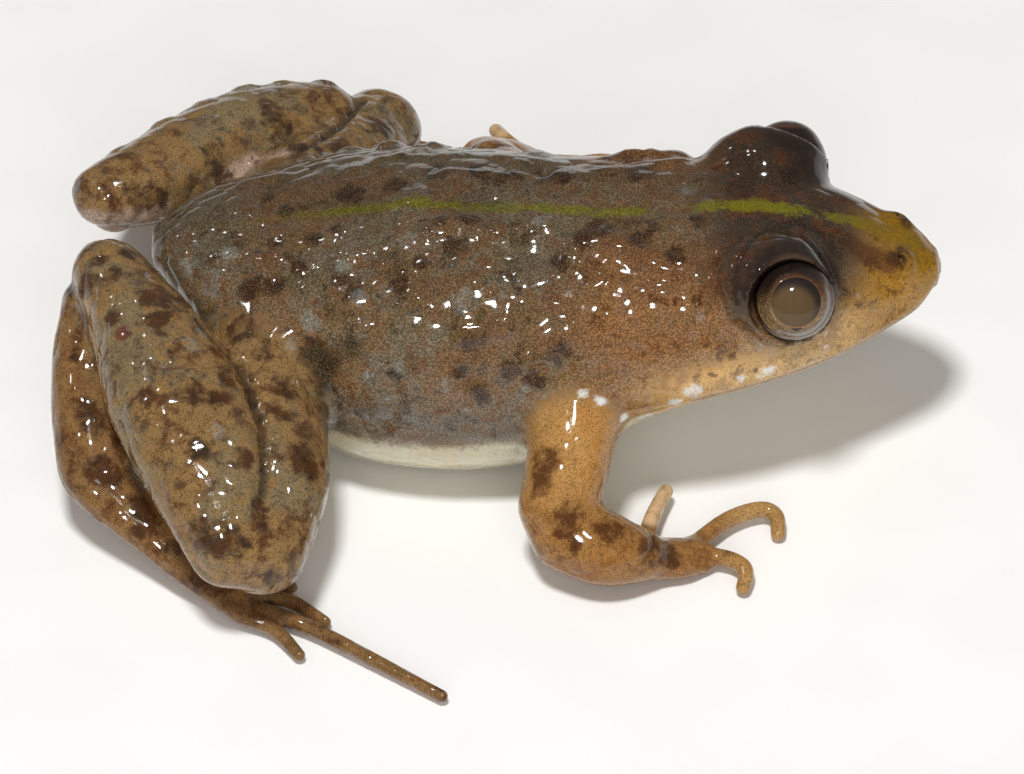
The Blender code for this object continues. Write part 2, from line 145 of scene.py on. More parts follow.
UPPER_ARMS = {
    RIGHT: [
        (1.35, -2.7, 2.95, 0.92, 0.92), (1.16, -3.75, 2.35, 0.86, 0.82),
        (0.92, -4.6, 1.65, 0.79, 0.76),
    ],
    LEFT: [
        (1.2, 2.5, 2.95, 0.9, 0.9), (0.4, 4.0, 2.45, 0.76, 0.76), (-0.4, 5.4, 2.0, 0.68, 0.68),
    ],
}
FOREARMS = {
    RIGHT: [
        (1.12, -4.88, 1.2, 0.81, 0.75), (1.85, -5.12, 1.0, 0.8, 0.71),
        (2.55, -4.98, 0.7, 0.6, 0.53),
    ],
    LEFT: [
        (-0.52, 6.02, 1.55, 0.67, 0.68), (-0.1, 6.52, 1.12, 0.62, 0.6),
        (0.32, 6.98, 0.7, 0.52, 0.46),
    ],
}
PALMS = {
    RIGHT: [
        (2.95, -4.85, 0.48, 0.5, 0.38), (3.4, -4.7, 0.36, 0.52, 0.32), (3.8, -4.5, 0.3, 0.42, 0.28),
    ],
    LEFT: [
        (0.62, 7.14, 0.46, 0.47, 0.36), (1.0, 7.3, 0.34, 0.49, 0.3), (1.34, 7.4, 0.28, 0.42, 0.26),
    ],
}
FINGERS = {
    RIGHT: [
        [(2.66, -4.45, 0.42), (2.86, -3.55, 0.42), (3.13, -2.77, 0.4)],
        [(3.7, -4.25, 0.3), (4.4, -3.53, 0.32), (5.05, -3.25, 0.34), (5.37, -3.4, 0.3), (5.4, -3.8, 0.18)],
        [(3.7, -4.56, 0.3), (4.3, -4.68, 0.32), (4.65, -4.9, 0.32), (4.72, -5.15, 0.28), (4.66, -5.42, 0.2)],
        [(3.25, -4.68, 0.28), (3.58, -4.76, 0.22), (3.88, -4.76, 0.18)],
    ],
    LEFT: [
        [(0.6, 7.4, 0.4), (0.02, 8.02, 0.44), (-0.34, 8.56, 0.42)],
        [(1.3, 7.55, 0.28), (1.9, 7.7, 0.3), (2.5, 7.7, 0.18)],
        [(1.5, 7.35, 0.28), (2.2, 7.2, 0.3), (2.9, 7.1, 0.18)],
        [(1.3, 7.1, 0.28), (1.8, 6.7, 0.26), (2.2, 6.35, 0.18)],
    ],
}

# Mouth and nostrils
MOUTH_CORNER = 3.70
MOUTH_ANGLE = -14
NOSTRIL_PLACE = (7.85, 0.62, 4.95)
NOSTRIL_MIDDLE = -0.21

# The skin is drawn with digits of their real thickness
SKIN_TOE_RADII = (0.18, 0.125)
SKIN_FINGER_RADII = (0.19, 0.15)
TAIL_ROUND = 0.18
SNOUT_ROUND = 0.14

# Eyelids of the skin: mounds measured from the eye (ahead, inwards, up, radius)
SKIN_LID_MOUNDS = [
    (-0.10, 0.10, -0.06, 0.96),
    (-0.34, 0.53, 0.14, 0.92),
    (-0.68, 0.32, 0.13, 0.84),
    (-1.02, 0.32, -0.06, 0.72),
]
LIP_DEPTH = 0.10
LIP_RISE = 0.12
LIP_RADIUS = 0.10
EYE_ROOM = -0.04
LID_CUT = [(0.30, 0.745), (0.62, 0.95), (1.60, 1.40)]
LID_DROOP = 0.16
LID_RING_OUT = 0.45
LID_RING = 0.80

# How softly the forms run into each other
LIMB_JOINS = [(THIGHS, 0.50), (UPPER_ARMS, 0.45), (FOREARMS, 0.25), (PALMS, 0.20)]
DIGIT_JOIN = 0.12
FOLD_JOIN = 0.10
LID_JOIN = 0.30
PART_BLEND = 0.14

# The grid that the skin is drawn on
CELL = 0.102
HEAD_CELL = 0.086
HEAD_FROM = 2.6
GRID_LOW = (-10.2, -9.9, -0.45)
GRID_HIGH = (9.3, 10.1, 7.0)
MARGIN = 0.5
SLOPE_STEP = 0.05
FINE_STEP = 0.01

# The camera
CAMERA_TARGET = np.array((0.0, 0.0, 0.77))
CAMERA_RISE = math.radians(42)
TO_CAMERA = np.array((0.0, -math.cos(CAMERA_RISE), math.sin(CAMERA_RISE)))
CAMERA_DISTANCE = 180.0
CAMERA_LENS = 307.5
SENSOR = 36.0
PICTURE = (1024, 774)

SEED = 7


def unit(vector):
    vector = np.asarray(vector, float)
    return vector / np.linalg.norm(vector)


def eased(values, position):
    """Catmull-Rom interpolation of equal-length tuples at a position counted in stations."""
    last = len(values) - 1
    index = min(int(position), last - 1)
    t = position - index
    before = np.array(values[max(index - 1, 0)])
    start = np.array(values[index])
    end = np.array(values[index + 1])
    after = np.array(values[min(index + 2, last)])
    return 0.5 * (
        2 * start
        + (end - before) * t
        + (2 * before - 5 * start + 4 * end - after) * t * t
        + (3 * start - before - 3 * end + after) * t**3
    )


def samples_of(stations, steps):
    count = (len(stations) - 1) * steps
    return np.array([eased(stations, i / steps) for i in range(count + 1)])


def digit_samples(places, radii):
    last = len(places) - 1
    stations = []
    for i, place in enumerate(places):
        radius = radii[0] + (radii[1] - radii[0]) * i / last
        stations.append((*place, radius, radius))
    return samples_of(stations, 4)


def eye_centre(side):
    ahead, out, up = EYE_CENTRE
    return np.array((ahead - side * EYE_TURN, EYE_MIDDLE + side * out, up))


def eye_axis(side):
    ahead, out, up = EYE_AXIS
    return unit((ahead, side * out, up))


BODY_SAMPLES = samples_of(BODY_STATIONS, 12)


def body_values(x):
    """Midline, half width, back, belly and widest height at places along the body."""
    return [np.interp(x, BODY_SAMPLES[:, 0], BODY_SAMPLES[:, i]) for i in range(1, 6)]


def body_place(x, turn):
    """The surface of trunk or head at an angle round its section: 0 is the left, 90 degrees the back."""
    middle, half_width, back, belly, widest = body_values(x)
    across = math.cos(turn)
    up = math.sin(turn)
    power = BACK_POWER if up > 0 else BELLY_POWER
    reach = back - widest if up > 0 else widest - belly
    y = middle + half_width * math.copysign(abs(across) ** (2 / power), across)
    return np.array((x, y, widest + reach * math.copysign(abs(up) ** (2 / power), up)))


# Distances in millimetres from points (..., 3); below 0 is inside


def section_distance(points):
    """Distance from the body's own section at each place along it."""
    x = points[..., 0]
    middle, half_width, back, belly, widest = body_values(x)
    tail_x = BODY_SAMPLES[0, 0]
    snout_x = BODY_SAMPLES[-1, 0]
    past = np.maximum((x - snout_x) / SNOUT_ROUND, (tail_x - x) / TAIL_ROUND)
    shrink = np.sqrt(np.clip(1 - np.clip(past, 0, 1) ** 2, 1e-4, 1))
    half_width = half_width * shrink
    across = points[..., 1] - middle
    up = points[..., 2] - widest
    above = up > 0
    reach = np.where(above, back - widest, widest - belly) * shrink
    power = np.where(above, BACK_POWER, BELLY_POWER)
    share = (np.abs(across / half_width) ** power + np.abs(up / reach) ** power) ** (1 / power)
    straight = np.sqrt(across**2 + up**2)
    distance = straight - straight / np.maximum(share, 1e-3)
    distance = np.where(share > 1e-3, distance, -np.minimum(half_width, reach))
    ends = np.maximum(x - snout_x - SNOUT_ROUND, tail_x - TAIL_ROUND - x)
    return np.maximum(distance, ends)


def body_distance(points):
    step = np.array((SLOPE_STEP, 0.0, 0.0))
    slope = (section_distance(points + step) - section_distance(points - step)) / (2 * SLOPE_STEP)
    return section_distance(points) / np.sqrt(1 + np.clip(slope, -3, 3) ** 2)


def limb_distance(points, samples):
    """Distance from a limb: the nearest of the short oval lengths between its samples."""
    best = np.full(points.shape[:-1], 1e3)
    for near, far in zip(samples, samples[1:]):
        line = far[:3] - near[:3]
        length2 = float(line @ line)
        tangent = line / math.sqrt(length2)
        side = unit(np.cross(tangent, (0.0, 0.0, 1.0)))
        rise = np.cross(side, tangent)
        offset = points - near[:3]
        t = np.clip(offset @ line / length2, 0.0, 1.0)
        offset = offset - t[..., None] * line
        width = near[3] + (far[3] - near[3]) * t
        height = near[4] + (far[4] - near[4]) * t
        thin = np.minimum(width, height)
        reach = (offset @ side / width) ** 2 + (offset @ rise / height) ** 2
        reach = np.sqrt(reach + (offset @ tangent / thin) ** 2)
        straight = np.sqrt((offset**2).sum(-1))
        distance = np.where(reach > 1e-3, straight - straight / np.maximum(reach, 1e-3), -thin)
        best = np.minimum(best, distance)
    return best


def apart(points, place):
    return np.sqrt(((points - place) ** 2).sum(-1))


def ball_distance(points, centre, radius):
    return apart(points, centre) - radius


def soft_min(a, b, reach):
    """The nearer of two distances, rounded off where they are alike."""
    near = np.maximum(reach - np.abs(a - b), 0) / reach
    return np.minimum(a, b) - near * near * reach / 4


class Flesh:
    """Distances at many points, to which forms are joined and from which they are cut."""

    def combine(self, low, high, measure, reach, cut=False):
        window = self.window(low - MARGIN, high + MARGIN)
        distance = measure(self.points(window))
        if cut:
            self.field[window] = -soft_min(-self.field[window], distance, reach)
        else:
            self.field[window] = soft_min(self.field[window], distance, reach)

    def limb(self, samples, reach, cut=False):
        wide = samples[:, 3:5].max(axis=1)[:, None] + reach
        low = (samples[:, :3] - wide).min(axis=0)
        high = (samples[:, :3] + wide).max(axis=0)
        self.combine(low, high, lambda points: limb_distance(points, samples), reach, cut)

    def ball(self, centre, radius, reach, cut=False):
        room = radius + reach
        self.combine(
            centre - room, centre + room, lambda points: ball_distance(points, centre, radius), reach, cut
        )


class Block(Flesh):
    """Distances on a grid."""

    def __init__(self, low, high):
        rear = np.arange(low[0], HEAD_FROM, CELL)
        self.axes = [
            np.concatenate([rear, np.arange(rear[-1] + HEAD_CELL, high[0], HEAD_CELL)]),
            np.arange(low[1], high[1], CELL),
            np.arange(low[2], high[2], CELL),
        ]
        self.field = np.full([len(axis) for axis in self.axes], 5.0, np.float32)
        for first in range(0, len(self.axes[0]), 24):
            slab = (slice(first, first + 24), slice(None), slice(None))
            self.field[slab] = body_distance(self.points(slab))

    def window(self, low, high):
        ends = zip(self.axes, low, high)
        return tuple(slice(*np.searchsorted(axis, (a, b))) for axis, a, b in ends)

    def points(self, window):
        grids = np.meshgrid(*(axis[part] for axis, part in zip(self.axes, window)), indexing="ij")
        return np.stack(grids, -1)


class Dots(Flesh):
    """Distances at loose points."""

    def __init__(self, places):
        self.places = places
        self.field = body_distance(places)

    def window(self, low, high):
        return np.nonzero(((self.places > low) & (self.places < high)).all(axis=1))[0]

    def points(self, window):
        return self.places[window]


def gape_path():
    """The line of the mouth, from one corner round the snout to the other."""
    end = BODY_STATIONS[-1][0]
    path = {}
    for side in SIDES:
        turn = math.radians(MOUTH_ANGLE if side == LEFT else 180 - MOUTH_ANGLE)
        steps = [MOUTH_CORNER + (end - MOUTH_CORNER) * i / 30 for i in range(31)]
        path[side] = [body_place(x, turn) for x in steps]
    tip = (path[RIGHT][-1] + path[LEFT][-1]) / 2 + np.array((SNOUT_ROUND / 2, 0, 0))
    return np.array(path[RIGHT] + [tip] + path[LEFT][::-1])


def tube(points, radius):
    return np.column_stack([points, np.full((len(points), 2), radius)])


def nostril_centre(side):
    ahead, out, up = NOSTRIL_PLACE
    return np.array((ahead, NOSTRIL_MIDDLE + side * out, up))


def model(flesh):
    """All the flesh: trunk and head are there already, and limbs, lids, lips and openings are added."""
    for side in SIDES:
        for limb, reach in LIMB_JOINS:
            flesh.limb(samples_of(limb[side], 6), reach)
        for places in FINGERS[side]:
            flesh.limb(digit_samples(places, SKIN_FINGER_RADII), DIGIT_JOIN)
        flesh.limb(samples_of(SHANKS[side], 6), FOLD_JOIN)
        flesh.limb(samples_of(TARSI[side] + FEET[side], 5), FOLD_JOIN)
        for places in TOES[side]:
            flesh.limb(digit_samples(places, SKIN_TOE_RADII), DIGIT_JOIN)
    path = gape_path()
    inner = path - np.array((LIP_DEPTH, 0, 0))
    inner[:, 1] += (NOSTRIL_MIDDLE - inner[:, 1]) * LIP_DEPTH / 2
    flesh.limb(tube(inner + (0.0, 0.0, LIP_RISE), LIP_RADIUS), 0.16)
    flesh.limb(tube(path, 0.045), 0.05, cut=True)
    for side in SIDES:
        centre = eye_centre(side)
        axis = eye_axis(side)
        for ahead, inward, up, radius in SKIN_LID_MOUNDS:
            flesh.ball(centre + np.array((ahead, -side * inward, up)), radius, LID_JOIN)
        opening = unit(axis - np.array((0.0, 0.0, LID_DROOP)))
        flesh.limb(
            np.array([(*(centre + opening * out), radius, radius) for out, radius in LID_CUT]),
            0.08,
            cut=True,
        )
        flesh.ball(centre, EYE_RADIUS + EYE_ROOM, 0.07, cut=True)
        nostril = nostril_centre(side)
        flesh.ball(nostril - np.array((0.08, side * 0.04, 0.14)), 0.26, 0.30)
        flesh.ball(nostril + np.array((0.0, side * 0.02, 0.05)), 0.085, 0.06, cut=True)
    window = flesh.window((-99, -99, -99), (99, 99, 99))
    low = flesh.points(window)[..., 2]
    flesh.field[window] = -soft_min(-flesh.field[window], low, 0.04)
    return flesh


# The corners of a grid cell
CORNERS = [(i, j, k) for i in (0, 1) for j in (0, 1) for k in (0, 1)]


def surface_of(block):
    """One vertex in each grid cell that the surface crosses, and a face round each edge it crosses."""
    field = block.field
    inside = field < 0
    filled = np.zeros([n - 1 for n in field.shape], np.int8)
    for offset in CORNERS:
        filled += inside[tuple(slice(o, n - 1 + o) for o, n in zip(offset, field.shape))]
    cells = np.nonzero((filled > 0) & (filled < 8))
    number = np.full(filled.shape, -1, np.int32)
    number[cells] = np.arange(len(cells[0]))
    place = np.zeros((len(cells[0]), 3))
    count = np.zeros(len(cells[0]))
    for axis in range(3):
        for offset in CORNERS:
            if offset[axis]:
                continue
            start = [c + o for c, o in zip(cells, offset)]
            end = [c + (a == axis) for a, c in enumerate(start)]
            a = field[tuple(start)]
            b = field[tuple(end)]
            crossed = (a < 0) != (b < 0)
            t = np.where(crossed, a / np.where(crossed, a - b, 1), 0)
            point = np.stack([block.axes[i][start[i]] for i in range(3)], -1)
            point[:, axis] += t * (block.axes[axis][end[axis]] - block.axes[axis][start[axis]])
            place += point * crossed[:, None]
            count += crossed
    place /= count[:, None]
    faces = []
    for axis in range(3):
        second = (axis + 1) % 3
        third = (axis + 2) % 3
        part = [slice(1, -1)] * 3
        part[axis] = slice(0, -1)
        after = list(part)
        after[axis] = slice(1, None)
        start = inside[tuple(part)]
        change = np.nonzero(start != inside[tuple(after)])
        outward = start[change]
        base = [c + (a != axis) for a, c in enumerate(change)]
        ring = []
        for back_second, back_third in ((1, 1), (0, 1), (0, 0), (1, 0)):
            index = list(base)
            index[second] = base[second] - back_second
            index[third] = base[third] - back_third
            ring.append(number[tuple(index)])
        ring = np.stack(ring, -1)
        faces.append(np.where(outward[:, None], ring, ring[:, ::-1]))
    return place, np.concatenate(faces)


def averaged(values, edges):
    """Each vertex's mean over its neighbours."""
    count = np.bincount(edges.ravel(), minlength=len(values)).astype(float)
    total = np.zeros_like(values)
    for column in range(values.shape[1]):
        for a, b in ((0, 1), (1, 0)):
            total[:, column] += np.bincount(edges[:, a], values[edges[:, b], column], len(values))
    return total / np.maximum(count, 1)[:, None]


class Probe:
    """Reads the block's field and its slope between grid points."""

    def __init__(self, block):
        self.axes = block.axes
        self.arrays = [block.field] + [g.astype(np.float32) for g in np.gradient(block.field, *block.axes)]

    def read(self, points):
        index = []
        share = []
        for i, axis in enumerate(self.axes):
            n = np.clip(np.searchsorted(axis, points[:, i]) - 1, 0, len(axis) - 2)
            index.append(n)
            share.append(np.clip((points[:, i] - axis[n]) / (axis[n + 1] - axis[n]), 0, 1))
        found = np.zeros((4, len(points)))
        for corner in CORNERS:
            weight = np.ones(len(points))
            for high, part in zip(corner, share):
                weight = weight * (part if high else 1 - part)
            at = tuple(n + high for n, high in zip(index, corner))
            for total, array in zip(found, self.arrays):
                total += weight * array[at]
        return found[0], found[1:].T


def measured(points):
    """The flesh's exact distance and slope at loose points."""
    steps = np.concatenate([np.zeros((1, 3)), np.eye(3) * FINE_STEP])
    field = model(Dots((points[None] + steps[:, None]).reshape(-1, 3))).field.reshape(4, -1)
    return field[0], ((field[1:] - field[0]) / FINE_STEP).T


def settled(points, read, rounds):
    """Points moved onto the surface."""
    for _ in range(rounds):
        level, slope = read(points)
        move = level / np.maximum((slope**2).sum(-1), 0.25)
        points = points - slope * np.clip(move, -0.1, 0.1)[:, None]
    return points


def mesh_parts(mesh):
    points = np.empty(len(mesh.vertices) * 3)
    mesh.vertices.foreach_get("co", points)
    edges = np.empty(len(mesh.edges) * 2, np.int32)
    mesh.edges.foreach_get("vertices", edges)
    return points.reshape(-1, 3), edges.reshape(-1, 2)


def near_path(points, path, room):
    """Whether each point is within some room of a line through places."""
    return limb_distance(points, tube(np.asarray(path, float), room)) < 0


def wants_detail(points):
    """Where the skin is drawn finer: round the eyes, nostrils and mouth, and on the digits."""
    fine = np.zeros(len(points), bool)
    for side in SIDES:
        fine |= ball_distance(points, eye_centre(side) + eye_axis(side) * 0.35, 0.98) < 0
        fine |= ball_distance(points, nostril_centre(side), 0.32) < 0
        for places in FINGERS[side] + TOES[side]:
            fine |= near_path(points, places, 0.30)
    return fine | near_path(points, gape_path(), 0.24)


def skin_mesh():
    """The skin's surface without its relief."""
    block = model(Block(GRID_LOW, GRID_HIGH))
    points, faces = surface_of(block)
    mesh = bpy.data.meshes.new("skin")
    mesh.from_pydata(points.tolist(), [], faces.tolist())
    probe = Probe(block)
    points, edges = mesh_parts(mesh)
    for _ in range(3):
        points = settled(points + 0.5 * (averaged(points, edges) - points), probe.read, 2)
    mesh.vertices.foreach_set("co", points.ravel())

    fine = wants_detail(points)
    shape = bmesh.new()
    shape.from_mesh(mesh)
    shape.edges.ensure_lookup_table()
    chosen = [shape.edges[i] for i in np.nonzero(fine[edges].all(axis=1))[0]]
    bmesh.ops.subdivide_edges(shape, edges=chosen, cuts=1, use_grid_fill=True)
    shape.to_mesh(mesh)
    shape.free()
    points, edges = mesh_parts(mesh)
    fine = np.nonzero(wants_detail(points))[0]
    for strength in (0.5, 0.5, 0.35):
        smooth = points + strength * (averaged(points, edges) - points)
        points[fine] = settled(smooth[fine], measured, 1)
    mesh.vertices.foreach_set("co", points.ravel())
    return mesh


class Picture:
    """Where things in the photograph lie on the skin: rays from the camera through its pixels."""

    def __init__(self, points, faces):
        self.tree = BVHTree.FromPolygons(points.tolist(), faces)
        self.up = np.array((0.0, math.sin(CAMERA_RISE), math.cos(CAMERA_RISE)))
        self.eye = CAMERA_TARGET + TO_CAMERA * CAMERA_DISTANCE

    def place(self, across, down):
        """The first point of the skin behind a pixel, or None."""
        scale = SENSOR / CAMERA_LENS / PICTURE[0]
        ray = self.up * ((PICTURE[1] / 2 - down) * scale) - TO_CAMERA
        ray[0] += (across - PICTURE[0] / 2) * scale
        hit = self.tree.ray_cast(Vector(self.eye), Vector(unit(ray)))[0]
        return None if hit is None else np.array(hit)


# A pixel's width on the frog, in millimetres
PIXEL = 0.0204


def smooth_step(value, low, high):
    share = np.clip((value - low) / (high - low), 0, 1)
    return share * share * (3 - 2 * share)


def falloff(distance, radius):
    """1 at a mark's middle and 0 past its radius, with soft shoulders."""
    return smooth_step(1 - (distance / radius) ** 2, 0, 1)


def spread(points, places, picture, soft=1.0):
    """How strongly each point lies in marks that are given by pixel and radius in pixels."""
    total = np.zeros(len(points))
    for across, down, size in places:
        spot = picture.place(across, down)
        if spot is not None:
            total = np.maximum(total, falloff(apart(points, spot), size * PIXEL * soft))
    return total


def line_distance(points, path):
    """Distance to a line through places."""
    best = np.full(len(points), 1e3)
    for start, end in zip(path, path[1:]):
        line = end - start
        t = np.clip((points - start) @ line / max(line @ line, 1e-9), 0, 1)
        best = np.minimum(best, np.sqrt(((points - start - t[:, None] * line) ** 2).sum(-1)))
    return best


def traced(picture, pixels):
    places = [picture.place(*pixel) for pixel in pixels]
    return [place for place in places if place is not None]


def over_midline(places):
    """Places mirrored to the other side of the body."""
    mirrored = places * (1, -1, 1)
    mirrored[..., 1] += 2 * np.interp(mirrored[..., 0], BODY_SAMPLES[:, 0], BODY_SAMPLES[:, 1])
    return mirrored


# Marks that are read off the photograph, in its pixels

STRIPE_LINE = [
    (168, 234), (190, 228), (250, 222), (330, 212), (360, 208), (420, 205), (500, 207), (600, 212),
    (640, 210), (700, 208), (760, 205), (800, 212), (835, 217), (870, 225), (900, 238),
]
STRIPE_GAPS = [(650, 690), (810, 828)]
STRIPE_WIDTH = 0.14
WARTS = 280
HIDDEN_MARKS = 90

# Raised ridges of the back: the line of each, its half width and its height in millimetres
RIDGES = [
    ([(580, 248), (600, 240), (628, 250), (660, 263), (694, 275)], 0.34, 0.16),
    ([(528, 285), (550, 273), (572, 264)], 0.38, 0.09),
    ([(430, 233), (460, 226), (497, 231)], 0.32, 0.14), ([(531, 231), (546, 226)], 0.26, 0.1),
    ([(258, 262), (284, 264)], 0.34, 0.12), ([(335, 233), (344, 233)], 0.2, 0.08),
    ([(385, 264), (402, 271)], 0.27, 0.11), ([(357, 255), (372, 252)], 0.2, 0.07),
    ([(463, 334), (507, 327)], 0.3, 0.11), ([(533, 352), (562, 335)], 0.4, 0.12),
    ([(420, 292), (432, 310)], 0.22, 0.08), ([(455, 275), (476, 280)], 0.22, 0.08),
    ([(352, 330), (362, 328)], 0.22, 0.08), ([(404, 306), (416, 300)], 0.2, 0.07),
    ([(300, 268), (312, 262)], 0.22, 0.07), ([(590, 290), (604, 284)], 0.24, 0.09),
    ([(640, 292), (668, 290)], 0.22, 0.08), ([(486, 366), (520, 360)], 0.3, 0.07),
]
# Humps along the far outline of the back: place along the body, half width, height
OUTLINE_HUMPS = [
    ("trunk", -4.3, 0.3, 0.08), ("trunk", -3.4, 0.34, 0.1), ("trunk", -2.55, 0.42, 0.16),
    ("trunk", -1.55, 0.34, 0.08), ("trunk", 0.6, 0.45, 0.08), ("trunk", 2.55, 0.55, 0.16),
    ("trunk", 3.25, 0.55, 0.16), ("shank", -8.33, 0.3, 0.05), ("shank", -7.35, 0.34, 0.06),
    ("shank", -6.52, 0.3, 0.05), ("shank", -5.7, 0.34, 0.07), ("shank", -4.94, 0.28, 0.05),
    ("shank", -3.81, 0.32, 0.06),
]
# Coloured marks: how far they spread, then the pixel and the radius in pixels of each
MARKS = {
    "dark": (1.8, [
        (480, 146, 14), (500, 145, 16), (520, 150, 10), (543, 464, 15), (541, 480, 12),
        (570, 516, 13), (566, 528, 10), (610, 529, 12), (644, 545, 7), (664, 548, 15),
        (672, 556, 11), (655, 560, 8), (575, 545, 8), (70, 290, 11), (86, 287, 12), (98, 260, 8),
        (128, 253, 9), (112, 275, 9), (150, 300, 12), (166, 303, 14), (183, 306, 11),
        (158, 318, 10), (115, 318, 9), (177, 348, 8), (192, 393, 13), (227, 377, 10), (218, 397, 9),
        (147, 397, 10), (200, 450, 11), (243, 455, 9), (205, 535, 14), (225, 541, 14),
        (240, 548, 9), (273, 578, 11), (247, 330, 12), (282, 387, 13), (280, 413, 8),
        (300, 458, 14), (312, 470, 12), (260, 505, 9), (258, 522, 9), (75, 357, 6), (86, 412, 13),
        (92, 424, 11), (99, 468, 13), (112, 478, 10), (136, 508, 12), (144, 525, 11), (170, 553, 9),
        (198, 583, 8), (212, 592, 6), (136, 192, 13), (150, 197, 14), (160, 203, 11),
        (212, 152, 10), (217, 166, 12), (224, 178, 10), (266, 103, 9), (276, 118, 13),
        (284, 131, 11), (296, 146, 10), (372, 122, 10), (384, 130, 9), (333, 146, 10),
        (322, 152, 8), (213, 258, 7), (275, 243, 7), (312, 240, 9), (235, 247, 6), (300, 268, 7),
        (345, 285, 8), (352, 290, 10), (250, 290, 12), (275, 285, 9), (338, 232, 7), (240, 330, 13),
        (262, 352, 10), (314, 352, 14), (330, 362, 12), (322, 378, 10), (440, 225, 8),
        (470, 222, 9), (456, 250, 10), (420, 262, 7), (402, 285, 8), (560, 262, 8), (600, 232, 12),
        (585, 240, 9), (640, 240, 11), (675, 258, 10), (460, 372, 8), (480, 392, 9), (510, 370, 10),
        (535, 380, 10), (560, 350, 10), (470, 345, 7), (395, 375, 6), (897, 258, 9), (902, 250, 7),
        (700, 222, 8), (740, 190, 12), (790, 175, 10), (640, 175, 14), (480, 172, 13),
        (505, 178, 11), (440, 172, 13), (560, 178, 12), (600, 170, 12), (395, 186, 11),
        (285, 212, 8), (268, 198, 7), (350, 192, 12),
    ]),
    "white": (1.5, [
        (768, 370, 8), (742, 378, 5), (693, 392, 9), (676, 402, 7), (826, 335, 3), (826, 345, 3),
        (650, 415, 5), (642, 418, 4), (624, 418, 5), (600, 401, 6), (583, 394, 5), (760, 376, 5),
    ]),
    # Pale bluish patches of painted sheen on the wet skin.
    "misty_sheen": (1.05, [
        (545, 397, 7), (528, 388, 7), (368, 374, 9), (412, 418, 9), (445, 385, 9), (468, 408, 9),
        (400, 366, 8), (388, 400, 8), (875, 310, 5), (858, 296, 5), (230, 253, 14), (190, 265, 14),
        (212, 285, 16), (312, 322, 16), (290, 345, 10), (360, 300, 14), (465, 300, 18),
        (500, 300, 12), (345, 265, 12), (410, 240, 12), (745, 350, 10), (700, 315, 8),
        (760, 345, 8), (795, 352, 6), (540, 225, 14), (690, 190, 12), (205, 335, 12),
        (190, 345, 12), (215, 430, 12),
    ]),
    "olive": (1.6, [
        (738, 312, 15), (750, 326, 10), (318, 360, 16), (348, 348, 14), (325, 385, 12),
    ]),
    "orange": (1.6, [(597, 470, 15), (590, 415, 16), (600, 445, 10), (612, 505, 9)]),
    "tip": (1.3, [(905, 232, 26), (922, 250, 26), (928, 272, 18), (885, 218, 18)]),
    "red": (1.5, [(122, 333, 9)]),
    "pale": (1.3, [
        (664, 492, 16), (658, 505, 16), (650, 518, 12), (496, 126, 8), (502, 132, 8), (447, 143, 8),
        (432, 146, 8),
    ]),
}
CANTHUS_LINE = [(842, 238), (862, 252), (888, 262)]
PALE_LINE = [
    (92, 219), (130, 218), (160, 214), (200, 195), (230, 180), (255, 163), (282, 152),
]
# Creases: the line of each, its half width and its depth. The skin is also painted darker along them, as
# shade.
CREASES = [
    ([(198, 322), (215, 342), (238, 366), (252, 398), (262, 430), (265, 465), (263, 492)], 0.13, 0.09),
    ([(288, 158), (312, 144), (337, 127), (352, 112), (364, 100)], 0.12, 0.09),
    ([(736, 300), (737, 272), (747, 246), (768, 229), (795, 222), (820, 232), (835, 252)], 0.12, 0.05),
    ([(641, 526), (650, 533), (654, 543), (650, 553), (643, 562)], 0.09, 0.05),
]
HEEL_LINE = [
    (87, 303), (90, 323), (97, 363), (105, 397), (117, 433), (127, 460), (143, 487), (157, 510),
    (173, 537), (193, 557), (217, 577), (240, 593),
]


def fade(value, low, high):
    """1 up to the low value and 0 from the high one."""
    return 1 - smooth_step(value, low, high)


def band(value, low, high, fall_low, fall_high):
    """Rises from 0 to 1 between the first two values and falls again between the last two."""
    return smooth_step(value, low, high) * fade(value, fall_low, fall_high)


def waves(points, random, length, count=7):
    """Seeded unevenness between about -1 and 1."""
    total = np.zeros(len(points))
    for _ in range(count):
        direction = unit(random.normal(size=3)) * (2 * math.pi / length) * random.uniform(0.7, 1.4)
        total += np.sin(points @ direction + random.uniform(0, 2 * math.pi))
    return total / math.sqrt(count) / 1.4


def part_shares(points):
    """How much each point belongs to trunk, arm, hand, thigh, shank and foot."""
    nearest = {"trunk": body_distance(points)}
    chains = {
        "arm": (UPPER_ARMS, FOREARMS),
        "thigh": (THIGHS,),
        "shank": (SHANKS,),
        "foot": (TARSI, FEET),
        "hand": (PALMS,),
    }
    for name, limbs in chains.items():
        nearest[name] = np.full(len(points), 9.0)
        for side in SIDES:
            for limb in limbs:
                distance = limb_distance(points, samples_of(limb[side], 3))
                nearest[name] = np.minimum(nearest[name], distance)
    for name, digits, radii in (("foot", TOES, SKIN_TOE_RADII), ("hand", FINGERS, SKIN_FINGER_RADII)):
        for side in SIDES:
            for places in digits[side]:
                path = digit_samples(places, radii)[::2]
                nearest[name] = np.minimum(nearest[name], limb_distance(points, path))
    weight = {name: np.exp(-np.maximum(distance, 0) / PART_BLEND) for name, distance in nearest.items()}
    total = sum(weight.values())
    return {name: share / total for name, share in weight.items()}


